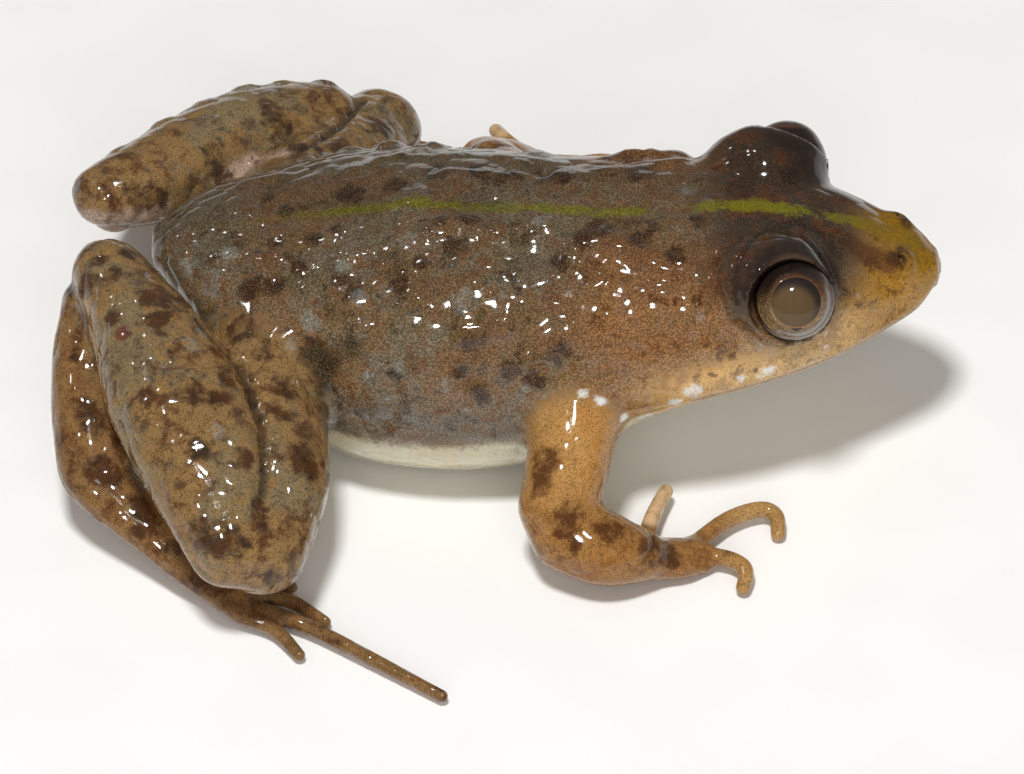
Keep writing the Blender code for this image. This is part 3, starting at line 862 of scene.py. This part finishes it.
def relief(points, normals, shares, picture, random):
    """How far the warts and ridges of the skin stand out at each point."""
    x, y, z = points.T
    widest = body_values(x)[4]
    trunk = shares["trunk"]
    calm = np.ones(len(points))
    for side in SIDES:
        calm *= smooth_step(ball_distance(points, eye_centre(side), 1.0), 0.02, 0.35)
    calm *= smooth_step(line_distance(points, gape_path()), 0.12, 0.5)
    upper = smooth_step(z, widest - 1.2, widest + 0.4)
    rough = trunk * (0.15 + 0.85 * upper)
    rough += shares["thigh"] * 0.7 + shares["shank"] * 0.75 + shares["arm"] * 0.35
    rough += shares["foot"] * smooth_step(z, 0.5, 1.4) * 0.6
    rough *= 1 - 0.5 * smooth_step(y, 0.3, 1.5) * trunk
    rough *= calm * smooth_step(normals[:, 2], -0.7, 0.1) * (1 - 0.7 * smooth_step(x, 5.6, 6.8))
    height = rough * (0.038 * waves(points, random, 1.9) + 0.012 * waves(points, random, 0.9))
    for index in random.choice(len(points), WARTS, p=rough / rough.sum(), replace=False):
        size = random.uniform(0.24, 0.46)
        tall = size * random.uniform(0.04, 0.11)
        height += rough * tall * falloff(apart(points, points[index]), size)
    for pixels, wide, tall in RIDGES:
        path = np.array(traced(picture, pixels))
        height += tall * falloff(line_distance(points, path), wide)
        mirrored = over_midline(path)
        mirrored[:, 0] += random.uniform(-0.5, 0.5)
        height += 0.5 * tall * upper * trunk * falloff(line_distance(points, mirrored), wide)
    toward = points @ picture.up
    for part, along, wide, tall in OUTLINE_HUMPS:
        near = (np.abs(x - along) < 0.12) & (shares[part] > 0.6) & (y > 0)
        peak = points[np.argmax(np.where(near, toward, -99))]
        height += tall * falloff(apart(points, peak), wide)
    for pixels, wide, deep in CREASES:
        height -= deep * falloff(line_distance(points, traced(picture, pixels)), wide)
    return height


def skin_values(points, normals, shares, height, picture, random):
    """What the skin's colours depend on, by name, at each point."""
    x, y, z = points.T
    middle, _, back, belly, widest = body_values(x)
    across = np.abs(y - middle)
    share = (z - belly) / (back - belly)
    trunk = shares["trunk"]
    hand = shares["hand"]
    leg = shares["thigh"] + shares["shank"] + shares["foot"]
    arm = shares["arm"] + hand * 0.9
    jaw_line = widest - 0.30 * (widest - belly)
    belly_line = belly + 0.40 * (back - belly)
    edge = belly_line + (jaw_line - belly_line) * smooth_step(x, 1.4, 3.4)
    edge_low = edge - 0.42 - 0.45 * smooth_step(x, 2.2, 4.2)
    fingers = np.maximum(
        smooth_step(x - 3.9 + (y > 0) * 2.2, 0.0, 0.8), smooth_step(np.abs(y + 0.4) - 7.6, 0.0, 0.5)
    )
    gape = gape_path()
    lip = line_distance(points, gape)
    values = {name: spread(points, marks, picture, soft) for name, (soft, marks) in MARKS.items()}
    values.update(
        arm=arm,
        leg=leg,
        foot=shares["foot"],
        belly=trunk * fade(z, edge_low, edge + 0.22),
        flank=trunk * band(x, -5.2, -3.6, 0.0, 1.6)
        * smooth_step(z, edge - 0.2, edge + 0.2) * fade(share, 0.50, 0.66),
        russet=trunk * band(x, 0.7, 2.0, 4.2, 5.6) * smooth_step(across, 0.7, 1.6),
        cheek=trunk * smooth_step(x, 1.6, 3.6) * fade(z, edge + 0.5, edge + 1.5),
        snout=trunk * smooth_step(x, 6.3, 7.6),
        crown=trunk * band(x, 3.2, 4.6, 6.4, 7.4) * smooth_step(share, 0.72, 0.92),
        # Darker along the top of the back, more so towards the far side: the top's darkening is the back's
        # own tone, the far side's extra darkening is painted shade.
        spine=trunk * smooth_step(share, 0.80, 0.95) * (0.5 + 0.5 * smooth_step(y, -0.4, 0.8)),
        finger=hand * smooth_step(fingers, 0.0, 1.0),
        lower_arm=hand + shares["arm"] * fade(z, 1.4, 2.8),
        lip=fade(lip, 0.05, 0.24) * smooth_step(gape[0, 2] + 3 - z, 0, 1),
        gape=fade(lip, 0.02, 0.08),
        fold=fade(line_distance(points, traced(picture, HEEL_LINE)), 0.02, 0.12),
        wart=np.clip(height / 0.12, -1, 1),
        stripe_rear=fade(x, -5.6, -3.4),
    )

    def strongest(name, strength):
        values[name] = np.maximum(values.get(name, 0), strength)

    for side in SIDES:
        axis = eye_axis(side)
        offset = points - eye_centre(side)
        out = offset @ axis
        away = apart(points, eye_centre(side))
        wide = np.sqrt(np.maximum((offset**2).sum(-1) - out**2, 0))
        ring = np.sqrt((out - LID_RING_OUT) ** 2 + (wide - LID_RING) ** 2)
        level = offset[:, 2] - 0.45 * side * offset[:, 1]
        low = 0.45 * offset[:, 0] - offset[:, 2] - 0.1 * wide
        strongest("lid", fade(away, 1.12, 1.42) * smooth_step(level, -0.5, 0.3))
        strongest("rim", fade(ring, 0.10, 0.24))
        strongest("rim_below", fade(ring, 0.14, 0.32) * smooth_step(low, -0.05, 0.35))

    line = np.array(traced(picture, STRIPE_LINE))
    stripe_y = np.interp(x, line[:, 0], line[:, 1])
    strength = smooth_step(x, -7.3, -5.0) * 0.6 + smooth_step(x, -4.6, -3.2) * 0.4
    for start, end in STRIPE_GAPS:
        low, high = (picture.place(pixel, 210)[0] for pixel in (start, end))
        strength *= 1 - 0.75 * band(x, low - 0.15, low + 0.15, high - 0.15, high + 0.15)
    strength *= smooth_step(share, 0.6, 0.8) * trunk * fade(x, 8.0, 8.5)
    width = STRIPE_WIDTH * (1 + 0.9 * smooth_step(x, 6.6, 8.0))
    values["stripe"] = strength * fade(np.abs(y - stripe_y), width * 0.55, width * 1.7)

    hidden = np.clip(normals @ -TO_CAMERA + 0.15, 0, 1) * smooth_step(normals[:, 2], -0.5, 0.3)
    hidden = hidden * (leg + arm + trunk * 0.6) + 1e-9
    for index in random.choice(len(points), HIDDEN_MARKS, p=hidden / hidden.sum(), replace=False):
        strongest("dark", falloff(apart(points, points[index]), random.uniform(0.22, 0.42)))
    for mark in MARKS["white"][1]:
        spot = picture.place(*mark[:2])
        if spot is not None:
            strongest("white", falloff(apart(points, over_midline(spot)), mark[2] * PIXEL * 1.5))
    canthus = np.array(traced(picture, CANTHUS_LINE))
    for path in (canthus, canthus * (1, -1, 1) + (0, 2 * NOSTRIL_MIDDLE, 0)):
        strongest("canthus", fade(line_distance(points, path), 0.10, 0.42))
    values["under"] = (1 - trunk) * smooth_step(-normals[:, 2], 0.25, 0.85)
    pale_line = fade(line_distance(points, traced(picture, PALE_LINE)), 0.08, 0.36)
    strongest("under", pale_line * (1 - trunk))
    # Painted shade along the skin's grooves.
    for pixels, wide, _ in CREASES:
        strongest("crease_shade", fade(line_distance(points, traced(picture, pixels)), 0.02, wide * 1.3))
    return values


# Colours, as red, green and blue of 0 to 255 on a screen
TONES = {
    "back brown": (138, 106, 73),
    "back grey": (129, 118, 97),
    "back olive": (102, 90, 52),
    "back russet": (112, 72, 44),
    "dark": (50, 33, 22),
    "dark warm": (74, 42, 22),
    "russet": (170, 114, 64),
    "wart": (118, 78, 46),
    "stripe": (134, 130, 10),
    "stripe rear": (150, 118, 50),
    "stripe front": (146, 116, 18),
    "snout": (160, 116, 4),
    "snout side": (158, 112, 30),
    "canthus": (98, 60, 32),
    "cheek": (232, 188, 122),
    "lip": (196, 170, 140),
    "belly": (228, 224, 198),
    "belly warm": (222, 208, 168),
    "flank": (132, 121, 107),
    "leg tan": (140, 109, 68),
    "leg brown": (110, 77, 46),
    "leg grey": (124, 114, 87),
    "leg under": (196, 170, 150),
    "foot": (124, 84, 46),
    "arm": (180, 134, 76),
    "arm orange": (186, 126, 58),
    "arm dark": (84, 46, 20),
    "hand": (140, 94, 46),
    "finger": (190, 150, 92),
    "thumb": (218, 184, 140),
    "crown": (62, 47, 36),
    "crown russet": (100, 56, 30),
    "lid": (34, 24, 19),
    "lid grey": (46, 37, 32),
    "rim": (78, 58, 44),
    "rim below": (138, 136, 140),
    "white": (226, 228, 226),
    # Tone of the painted sheen.
    "misty_sheen": (162, 164, 156),
    "olive": (66, 58, 34),
    "red": (96, 34, 34),
    "fold": (170, 122, 62),
    "light grey": (178, 160, 134),
    "light gold": (204, 164, 96),
}


def tone(rgb):
    """A screen colour as the linear colour that materials take."""
    return tuple(((c / 255 + 0.055) / 1.055) ** 2.4 if c > 10 else c / 255 / 12.92 for c in rgb) + (1.0,)


class Term:
    """A value in a material; arithmetic on it adds the nodes that work it out."""

    def __init__(self, shader, socket):
        self.shader = shader
        self.socket = socket

    def worked(self, kind, other, turned=False):
        first, second = (other, self) if turned else (self, other)
        return self.shader.node("ShaderNodeMath", {"operation": kind}, {0: first, 1: second})

    __add__ = partialmethod(worked, "ADD")
    __radd__ = partialmethod(worked, "ADD", turned=True)
    __sub__ = partialmethod(worked, "SUBTRACT")
    __rsub__ = partialmethod(worked, "SUBTRACT", turned=True)
    __mul__ = partialmethod(worked, "MULTIPLY")
    __rmul__ = partialmethod(worked, "MULTIPLY", turned=True)
    __truediv__ = partialmethod(worked, "DIVIDE")
    __rtruediv__ = partialmethod(worked, "DIVIDE", turned=True)
    __pow__ = partialmethod(worked, "POWER")
    __rpow__ = partialmethod(worked, "POWER", turned=True)


class Shader:
    """One material and the ways to add to it."""

    def __init__(self, name):
        self.material = bpy.data.materials.new(name)
        self.material.use_nodes = True
        self.tree = self.material.node_tree
        self.tree.nodes.clear()
        where = self.node("ShaderNodeTexCoord", output="Object")
        self.where = self.node("ShaderNodeVectorMath", {"operation": "SCALE"}, {0: where, "Scale": 1 / MM})

    def node(self, kind, settings=(), inputs=(), output=0):
        """Adds a node with its settings, values and links, and gives one of its outputs."""
        made = self.tree.nodes.new(kind)
        for name, value in dict(settings).items():
            setattr(made, name, value)
        for name, value in dict(inputs).items():
            if isinstance(value, Term):
                self.tree.links.new(value.socket, made.inputs[name])
            else:
                made.inputs[name].default_value = value
        return Term(self, made.outputs[output])

    def given(self, name):
        return self.node("ShaderNodeAttribute", {"attribute_name": name}, output="Fac")

    def step(self, value, low, high, start=0.0, end=1.0):
        inputs = {"Value": value, "From Min": low, "From Max": high, "To Min": start, "To Max": end}
        return self.node("ShaderNodeMapRange", {"interpolation_type": "SMOOTHSTEP"}, inputs)

    def patch(self, name, ragged, low, high):
        """The share of a mark with ragged edges, nothing outside the mark itself."""
        value = self.given(name)
        return self.step(value + ragged, low, high) * self.step(value, 0.0, 0.15)

    def noise(self, scale, detail=2.0, rough=0.5, twist=0.0):
        names = ("Vector", "Scale", "Detail", "Roughness", "Distortion")
        inputs = dict(zip(names, (self.where, scale, detail, rough, twist)))
        return self.node("ShaderNodeTexNoise", {"noise_dimensions": "3D"}, inputs)

    def cells(self, scale):
        inputs = {"Vector": self.where, "Scale": scale}
        return self.node("ShaderNodeTexVoronoi", {"feature": "F1"}, inputs, "Distance")

    def mix(self, under, over, share, blend="MIX"):
        """One colour over another; a colour is a screen colour or a term."""
        under, over = (tone(c) if isinstance(c, tuple) else c for c in (under, over))
        settings = {"data_type": "RGBA", "blend_type": blend, "clamp_factor": True}
        return self.node("ShaderNodeMix", settings, {0: share, 6: under, 7: over}, 2)

    def darken(self, colour, share):
        return self.mix(colour, (0, 0, 0), share, "MULTIPLY")

    def finish(self, colour, roughness, normal=None, **constants):
        made = self.tree.nodes.new("ShaderNodeBsdfPrincipled")
        for name, value in constants.items():
            made.inputs[name.replace("_", " ")].default_value = value
        for name, value in {"Base Color": colour, "Roughness": roughness, "Normal": normal}.items():
            if isinstance(value, Term):
                self.tree.links.new(value.socket, made.inputs[name])
            elif value is not None:
                made.inputs[name].default_value = value
        out = self.tree.nodes.new("ShaderNodeOutputMaterial")
        self.tree.links.new(made.outputs[0], out.inputs[0])
        return self.material


def skin_material():
    """Wet, granular skin: brown and grey, with russet, dark blotches, a green stripe and a pale belly."""
    s = Shader("wet_skin")
    mix, step, given, t = s.mix, s.step, s.given, TONES
    broad = s.noise(0.6, 2, 0.55, 0.5)
    patchy = s.noise(1.35, 3, 0.62, 0.5)
    middling = s.noise(3.6, 3, 0.62, 0.3)
    grain = s.noise(17.0, 2, 0.55)
    dots = s.cells(27.0)
    granules = s.cells(1.9)
    wart = given("wart")
    leg = given("leg")
    arm = given("arm")
    belly = given("belly")
    snout = given("snout")
    uneven = middling - 0.5
    fleck = grain - 0.5

    trunk = mix(t["back brown"], t["back grey"], step(broad + uneven * 1.0, 0.38, 0.66) * 0.85)
    trunk = mix(trunk, t["back olive"], step(patchy, 0.46, 0.66) * 0.55)
    trunk = mix(trunk, t["back russet"], step(patchy + uneven * 0.8, 0.52, 0.32) * 0.42)
    russet = given("russet") * step(middling + patchy * 0.5, 0.58, 0.90, 0.25, 0.9)
    trunk = mix(trunk, t["russet"], russet)
    trunk = mix(trunk, t["wart"], step(wart + uneven * 1.8, 0.35, 1.4) * 0.5)
    flank = given("flank") * step(middling + patchy * 0.6, 0.60, 0.95, 0.1, 0.95)
    trunk = mix(trunk, t["flank"], flank)
    trunk = mix(trunk, t["cheek"], given("cheek") * step(patchy + uneven, 0.30, 0.70, 0.45, 1.0))
    trunk = mix(trunk, t["snout side"], snout * step(patchy + uneven * 0.8, 0.35, 0.6, 0.65, 0.95))
    trunk = mix(trunk, t["canthus"], step(given("canthus") + uneven, 0.2, 0.9) * 0.8)
    trunk = mix(trunk, t["snout"], step(given("tip") + uneven * 0.8, 0.1, 0.8) * 0.9)
    crown = mix(t["crown"], t["crown russet"], step(patchy + uneven * 0.8, 0.48, 0.62))
    trunk = mix(trunk, crown, given("crown") * 0.92)

    legs = mix(t["leg tan"], t["leg brown"], step(patchy + uneven * 1.7, 0.36, 0.74))
    legs = mix(legs, t["leg grey"], step(broad + uneven * 0.8, 0.44, 0.62) * 0.6)
    legs = mix(legs, t["foot"], given("foot") * step(middling, 0.3, 0.7, 0.3, 0.9))
    legs = mix(legs, t["leg under"], given("under") * 0.8)
    arms = mix(t["arm"], t["arm orange"], step(given("orange") + uneven * 0.8, 0.1, 1.2) * 0.5)
    arms = mix(arms, t["hand"], given("lower_arm") * step(middling, 0.4, 0.62, 0.6, 1.0))
    arms = mix(arms, t["finger"], given("finger") * step(middling, 0.4, 0.62, 0.45, 0.9))
    colour = mix(trunk, legs, leg)
    colour = mix(colour, arms, arm)
    colour = mix(colour, t["thumb"], given("pale") * 0.9)

    loose = step(middling * 0.7 + patchy * 0.6, 0.66, 0.84) * (1 - arm * 0.8) * 0.7
    placed = step(given("dark") + uneven * 2.4 + (patchy - 0.5) * 1.0 + fleck * 0.5, 0.15, 1.15)
    dark = (placed * 0.9 + loose * (1 - placed)) * (1 - belly)
    dark_tone = mix(t["dark"], t["dark warm"], step(patchy, 0.42, 0.58))
    dark_tone = mix(dark_tone, t["arm dark"], arm * 0.8)
    colour = mix(colour, dark_tone, dark)
    colour = mix(colour, t["olive"], step(given("olive") + uneven * 1.2, 0.2, 1.2) * 0.7)
    colour = mix(colour, t["red"], step(given("red") + uneven, 0.2, 0.8) * 0.7)

    stripe_tone = mix(t["stripe"], t["stripe rear"], given("stripe_rear"))
    stripe_tone = mix(stripe_tone, t["stripe front"], snout)
    stripe = s.patch("stripe", uneven * 2.2 + fleck * 1.6, 0.15, 1.1)
    colour = mix(colour, stripe_tone, stripe * 0.84)
    under = mix(t["belly"], t["belly warm"], step(patchy + uneven * 1.2, 0.36, 0.66) * 0.7)
    under = mix(under, t["flank"], step(dots + fleck * 0.8 + belly * 0.5, 0.62, 0.80, 1.0, 0.0) * 0.55)
    colour = mix(colour, under, s.patch("belly", uneven * 1.3 + fleck * 0.9, 0.10, 1.05) * 0.94)
    colour = mix(colour, t["lip"], given("lip") * step(grain, 0.3, 0.6, 0.35, 0.8))
    colour = mix(colour, t["dark warm"], given("gape") * 0.6)
    colour = mix(colour, t["fold"], given("fold") * 0.8)
    # Painted shade on the far side of the back, over the back's own darker top.
    colour = s.darken(colour, given("spine") * 0.36)
    lid = mix(t["lid"], t["lid grey"], step(patchy + uneven, 0.42, 0.66) * 0.7)
    colour = mix(colour, lid, given("lid") * 0.97)
    colour = mix(colour, t["rim"], given("rim") * 0.8)
    colour = mix(colour, t["rim below"], given("rim_below") * step(middling, 0.34, 0.6, 0.35, 0.95))
    # Painted shade in the skin's grooves, in the dark lid tone.
    colour = mix(colour, t["lid"], given("crease_shade") * 0.6)
    colour = mix(colour, t["white"], s.patch("white", fleck * 1.4 + uneven * 1.8, 0.22, 1.20) * 0.92)
    # Painted sheen: pale bluish patches over the wet skin.
    colour = mix(colour, t["misty_sheen"], s.patch("misty_sheen", uneven * 3.2 + fleck, 0.15, 1.4) * 0.46)

    white = given("white")
    smooth = given("lid") * 0.6 + given("rim_below") * 0.3 + white * 0.7 + given("crown") * 0.4
    light = mix(t["light grey"], t["light gold"], step(leg + arm + snout + given("cheek"), 0.2, 0.7))
    warm = leg + arm + snout
    clear = step(arm + snout + given("cheek") * 0.8 + leg, 0.15, 0.9)
    net = step(dots + fleck * 0.7, 0.26, 0.62) * (0.52 - belly * 0.42)
    specks = step(dots + fleck * 0.6, 0.24, 0.50, 1.0, 0.0) * (0.56 - belly * 0.46 - given("pale") * 0.4)
    freckle = net * (1 - clear) + specks * clear
    colour = s.darken(colour, freckle * (1 - smooth))
    light_share = (1 - step(dots - fleck * 0.5, 0.10, 0.36)) * (0.30 - belly * 0.2 - warm * 0.08)
    light_share = light_share * (1 - clear * 0.9)
    colour = mix(colour, light, light_share * (1 - smooth) * step(middling, 0.35, 0.6, 0.3, 1.0))
    # Painted shade in the hollows of the relief, where its height is below zero.
    colour = s.darken(colour, step(wart, -0.7, 0.0, 0.30, 0.0))

    even = given("lid") * 0.5 + given("crown") * 0.4 + snout * 0.4 + arm * 0.4 + belly * 0.5
    grainy = step(broad, 0.35, 0.65, 0.55, 1.15) * (1 - even)
    height = granules * granules * grainy * -1.0
    bump = s.node("ShaderNodeBump", (), {"Strength": 0.95, "Distance": 0.12 * MM, "Height": height})
    roughness = step(grain, 0.3, 0.7, 0.075, 0.115)
    return s.finish(
        colour, roughness, bump, IOR=1.44, Coat_Weight=0.06, Coat_Roughness=0.05, Coat_IOR=1.33
    )


def put(mesh_object, slot, *nodes):
    """Places a piece in the frame: it rides on the body and stands for its solids."""
    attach(mesh_object, "root")
    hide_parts(*nodes)


def new_object(name, mesh, material):
    made = bpy.data.objects.new(name, mesh)
    bpy.context.scene.collection.objects.link(made)
    mesh.materials.append(material)
    mesh.polygons.foreach_set("use_smooth", [True] * len(mesh.polygons))
    return made


def solids_offset():
    """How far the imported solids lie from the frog's own frame, in millimetres."""
    low, high = (np.array(corner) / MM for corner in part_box("eye_left"))
    return (low + high) / 2 - eye_centre(LEFT)


def add_values(mesh, values):
    for name, numbers in values.items():
        layer = mesh.attributes.new(name, "FLOAT", "POINT")
        layer.data.foreach_set("value", np.asarray(numbers, np.float32))


def make_skin(offset):
    random = np.random.default_rng(SEED)
    mesh = skin_mesh()
    points = mesh_parts(mesh)[0]
    mesh.update()
    faces = [tuple(face.vertices) for face in mesh.polygons]
    picture = Picture(points, faces)
    normals = np.array([tuple(vertex.normal) for vertex in mesh.vertices])
    shares = part_shares(points)
    height = relief(points, normals, shares, picture, random)
    values = skin_values(points, normals, shares, height, picture, random)
    raised = points + normals * height[:, None]
    raised[:, 2] = np.maximum(raised[:, 2], 0.0)
    mesh.vertices.foreach_set("co", ((raised + offset) * MM).ravel())
    mesh.update()
    add_values(mesh, values)
    skin = new_object("skin", mesh, skin_material())
    flesh = [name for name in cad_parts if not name.startswith("eye")]
    put(skin, "back_skin", *flesh)
    return skin


# Eyes

EYE_RINGS = 72
EYE_AROUND = 96
CORNEA_RISE = 0.05
CORNEA_EDGE = 1.05
PUPIL_EDGE = 0.63
IRIS_EDGE = 1.18
EYE_TONES = {
    # Pupil tones are the painted reflection of the light in it, brown in the middle and darker towards the
    # edge.
    "pupil_reflection": (90, 70, 44),
    "pupil edge": (40, 32, 26),
    "ring": (160, 112, 60),
    "iris above": (74, 46, 30),
    "iris below": (88, 74, 54),
    "gold": (196, 158, 96),
    "dark": (22, 17, 16),
    "outside": (26, 20, 18),
    "membrane": (140, 136, 138),
}


def eye_material():
    """Pupil painted brown as the reflection of the light in it, in a gold-flecked iris that is dark above,
    all under a clear wet surface.
    """
    s = Shader("eye_gloss")
    mix, step, t = s.mix, s.step, EYE_TONES
    off = s.given("off_axis")
    low = s.given("low")
    aside = s.given("aside")
    grain = s.noise(14.0, 3, 0.7)
    cloud = s.noise(3.5, 2, 0.6)
    flecks = s.noise(30.0, 2, 0.6)
    fleck = grain - 0.5
    edge = off + fleck * 0.025
    # Pupil painted with the reflection of the light: brown in the middle, darker towards its edge.
    pupil_reflection = mix(t["pupil_reflection"], t["pupil edge"], step(off * (1 - aside * 0.3 - low * 0.45), 0.34, 0.74))
    pupil_reflection = s.darken(pupil_reflection, step(cloud, 0.35, 0.65, 0.0, 0.14))
    pupil_reflection = mix(pupil_reflection, t["dark"], step(off - low * 0.3, 0.62, 0.90) * 0.7)
    iris = mix(t["iris above"], t["iris below"], step(low + (cloud - 0.5) * 1.2, -0.35, 0.5))
    gold = step(flecks, 0.47, 0.60)
    gold = gold * step(low + (cloud - 0.5) * 1.6, -0.9, 0.8, 0.1, 0.95)
    iris = mix(iris, t["gold"], gold * 0.62)
    front = step(low - aside * 0.8, 0.0, 0.9)
    crescent = step(edge, 0.84, 0.92) * step(edge, 0.98, 1.06, 1.0, 0.0) * front
    iris = mix(iris, t["membrane"], crescent * 0.75)
    iris = mix(iris, t["dark"], step(edge, 1.00, 1.10) * front * 0.8)
    notch = step(off + (1 - low) * 5.0, 0.72, 0.84, 1.0, 0.0) * step(off, PUPIL_EDGE, PUPIL_EDGE + 0.02)
    iris = mix(iris, t["dark"], notch)
    ring = step(edge, PUPIL_EDGE + 0.01, PUPIL_EDGE + 0.045, 1.0, 0.0)
    rim = step(edge, IRIS_EDGE - 0.07, IRIS_EDGE - 0.04) * step(low + aside * 0.8, -0.2, 0.8)
    iris = mix(iris, t["ring"], (ring + rim) * step(low + (cloud - 0.5) * 2.0, -0.6, 0.8, 0.15, 0.8))
    colour = mix(pupil_reflection, iris, step(edge, PUPIL_EDGE - 0.02, PUPIL_EDGE + 0.01))
    upper = step(low - aside * 0.2, -0.8, 0.1, 0.92, 0.0)
    colour = mix(colour, t["dark"], upper * step(off + (cloud - 0.5) * 0.3, 0.64, 0.84))
    outside = mix(t["outside"], t["membrane"], step(low - aside * 0.6 + fleck * 0.4, -0.1, 0.7))
    colour = mix(colour, t["dark"], step(edge, IRIS_EDGE - 0.03, IRIS_EDGE))
    colour = mix(colour, outside, step(edge, IRIS_EDGE + 0.02, IRIS_EDGE + 0.06))
    return s.finish(colour, 0.6, IOR=1.2, Coat_Weight=1.0, Coat_Roughness=0.02, Coat_IOR=1.36)


def make_eye(side, word, offset, material):
    """An eyeball with a slightly bulging cornea, its poles on the eye's axis."""
    axis = eye_axis(side)
    down = unit(np.array((0.0, 0.0, -1.0)) + axis * axis[2])
    ahead = np.cross(down, axis) * -side
    turns = np.linspace(0, 2 * math.pi, EYE_AROUND, endpoint=False)
    points = [axis * (EYE_RADIUS + CORNEA_RISE)]
    values = [(0.0, 0.0, 0.0)]
    for ring in range(1, EYE_RINGS):
        angle = math.pi * ring / EYE_RINGS
        radius = EYE_RADIUS + CORNEA_RISE * float(falloff(angle, CORNEA_EDGE))
        for turn in turns:
            across = down * math.cos(turn) + ahead * math.sin(turn)
            points.append((axis * math.cos(angle) + across * math.sin(angle)) * radius)
            values.append((angle, math.cos(turn), math.sin(turn)))
    points.append(-axis * EYE_RADIUS)
    values.append((math.pi, 0.0, 0.0))
    faces = []
    for ring in range(EYE_RINGS):
        for k in range(EYE_AROUND):
            after = (k + 1) % EYE_AROUND
            here = 1 + (ring - 1) * EYE_AROUND
            there = here + EYE_AROUND
            if ring == 0:
                faces.append((0, 1 + k, 1 + after))
            elif ring == EYE_RINGS - 1:
                faces.append((len(points) - 1, here + after, here + k))
            else:
                faces.append((here + k, there + k, there + after, here + after))
    if side == RIGHT:
        faces = [face[::-1] for face in faces]
    mesh = bpy.data.meshes.new(f"eyeball_{word}")
    placed = (np.array(points) + eye_centre(side) + offset) * MM
    mesh.from_pydata(placed.tolist(), [], faces)
    shape = bmesh.new()
    shape.from_mesh(mesh)
    bmesh.ops.recalc_face_normals(shape, faces=shape.faces)
    shape.to_mesh(mesh)
    shape.free()
    add_values(mesh, dict(zip(("off_axis", "low", "aside"), np.array(values).T)))
    eye = new_object(f"eyeball_{word}", mesh, material)
    put(eye, "eye", f"eye_{word}")
    return eye


# Floor, light and camera

FLOOR_SIZE = 0.6
FLOOR_DROP = 0.00001
LAMPS = [
    # direction towards the lamp, its size in metres, its radiance, whether it lights, whether it glints
    ((-0.09, -0.32, 0.94), 0.033, 126.0, True, True),
    ((-0.53, 0.30, 0.80), 0.018, 40.0, False, True),
    ((0.05, -0.85, 0.50), 0.160, 2.3, True, False),
    ((0.10, 1.00, 0.05), 0.035, 0.8, True, True),
]
LAMP_DISTANCE = 0.22
SKY_COLOUR = (1.0, 0.95, 0.88, 1.0)
SKY_STRENGTH = 0.21


def make_stage():
    shape = bmesh.new()
    bmesh.ops.create_grid(shape, x_segments=24, y_segments=24, size=FLOOR_SIZE / 2)
    mesh = bpy.data.meshes.new("floor")
    shape.to_mesh(mesh)
    shape.free()
    s = Shader("pale_floor")
    colour = s.mix((249, 249, 248), (251, 251, 250), s.step(s.noise(0.4, 0), 0.4, 0.6))
    floor = new_object("floor", mesh, s.finish(colour, 0.6, IOR=1.4))
    floor.location.z = -FLOOR_DROP
    scene = bpy.context.scene
    for number, (direction, size, radiance, lights, glints) in enumerate(LAMPS):
        light = bpy.data.lights.new(f"lamp_{number}", "AREA")
        light.shape = "DISK"
        light.size = size
        light.energy = radiance * math.pi * math.pi * size * size / 4
        lamp = bpy.data.objects.new(f"lamp_{number}", light)
        away = Vector(unit(direction))
        lamp.location = away * LAMP_DISTANCE
        lamp.rotation_euler = away.to_track_quat("Z", "Y").to_euler()
        lamp.visible_diffuse = lights
        lamp.visible_glossy = glints
        scene.collection.objects.link(lamp)
    world = bpy.data.worlds.new("soft_sky")
    world.use_nodes = True
    backdrop = world.node_tree.nodes["Background"]
    backdrop.inputs["Color"].default_value = SKY_COLOUR
    backdrop.inputs["Strength"].default_value = SKY_STRENGTH
    scene.world = world
    scene.view_settings.view_transform = "Standard"


def make_camera(offset):
    away = Vector(TO_CAMERA)
    data = bpy.data.cameras.new("camera")
    data.lens = CAMERA_LENS
    data.sensor_width = SENSOR
    data.clip_start = 0.001
    data.clip_end = 5.0
    camera = bpy.data.objects.new("camera", data)
    camera.location = Vector((CAMERA_TARGET + offset) * MM) + away * CAMERA_DISTANCE * MM
    camera.rotation_euler = away.to_track_quat("Z", "Y").to_euler()
    bpy.context.scene.collection.objects.link(camera)
    bpy.context.scene.camera = camera


def main():
    offset = solids_offset()
    make_skin(offset)
    gloss = eye_material()
    for side, word in ((RIGHT, "right"), (LEFT, "left")):
        make_eye(side, word, offset, gloss)
    make_stage()
    make_camera(offset)


main()
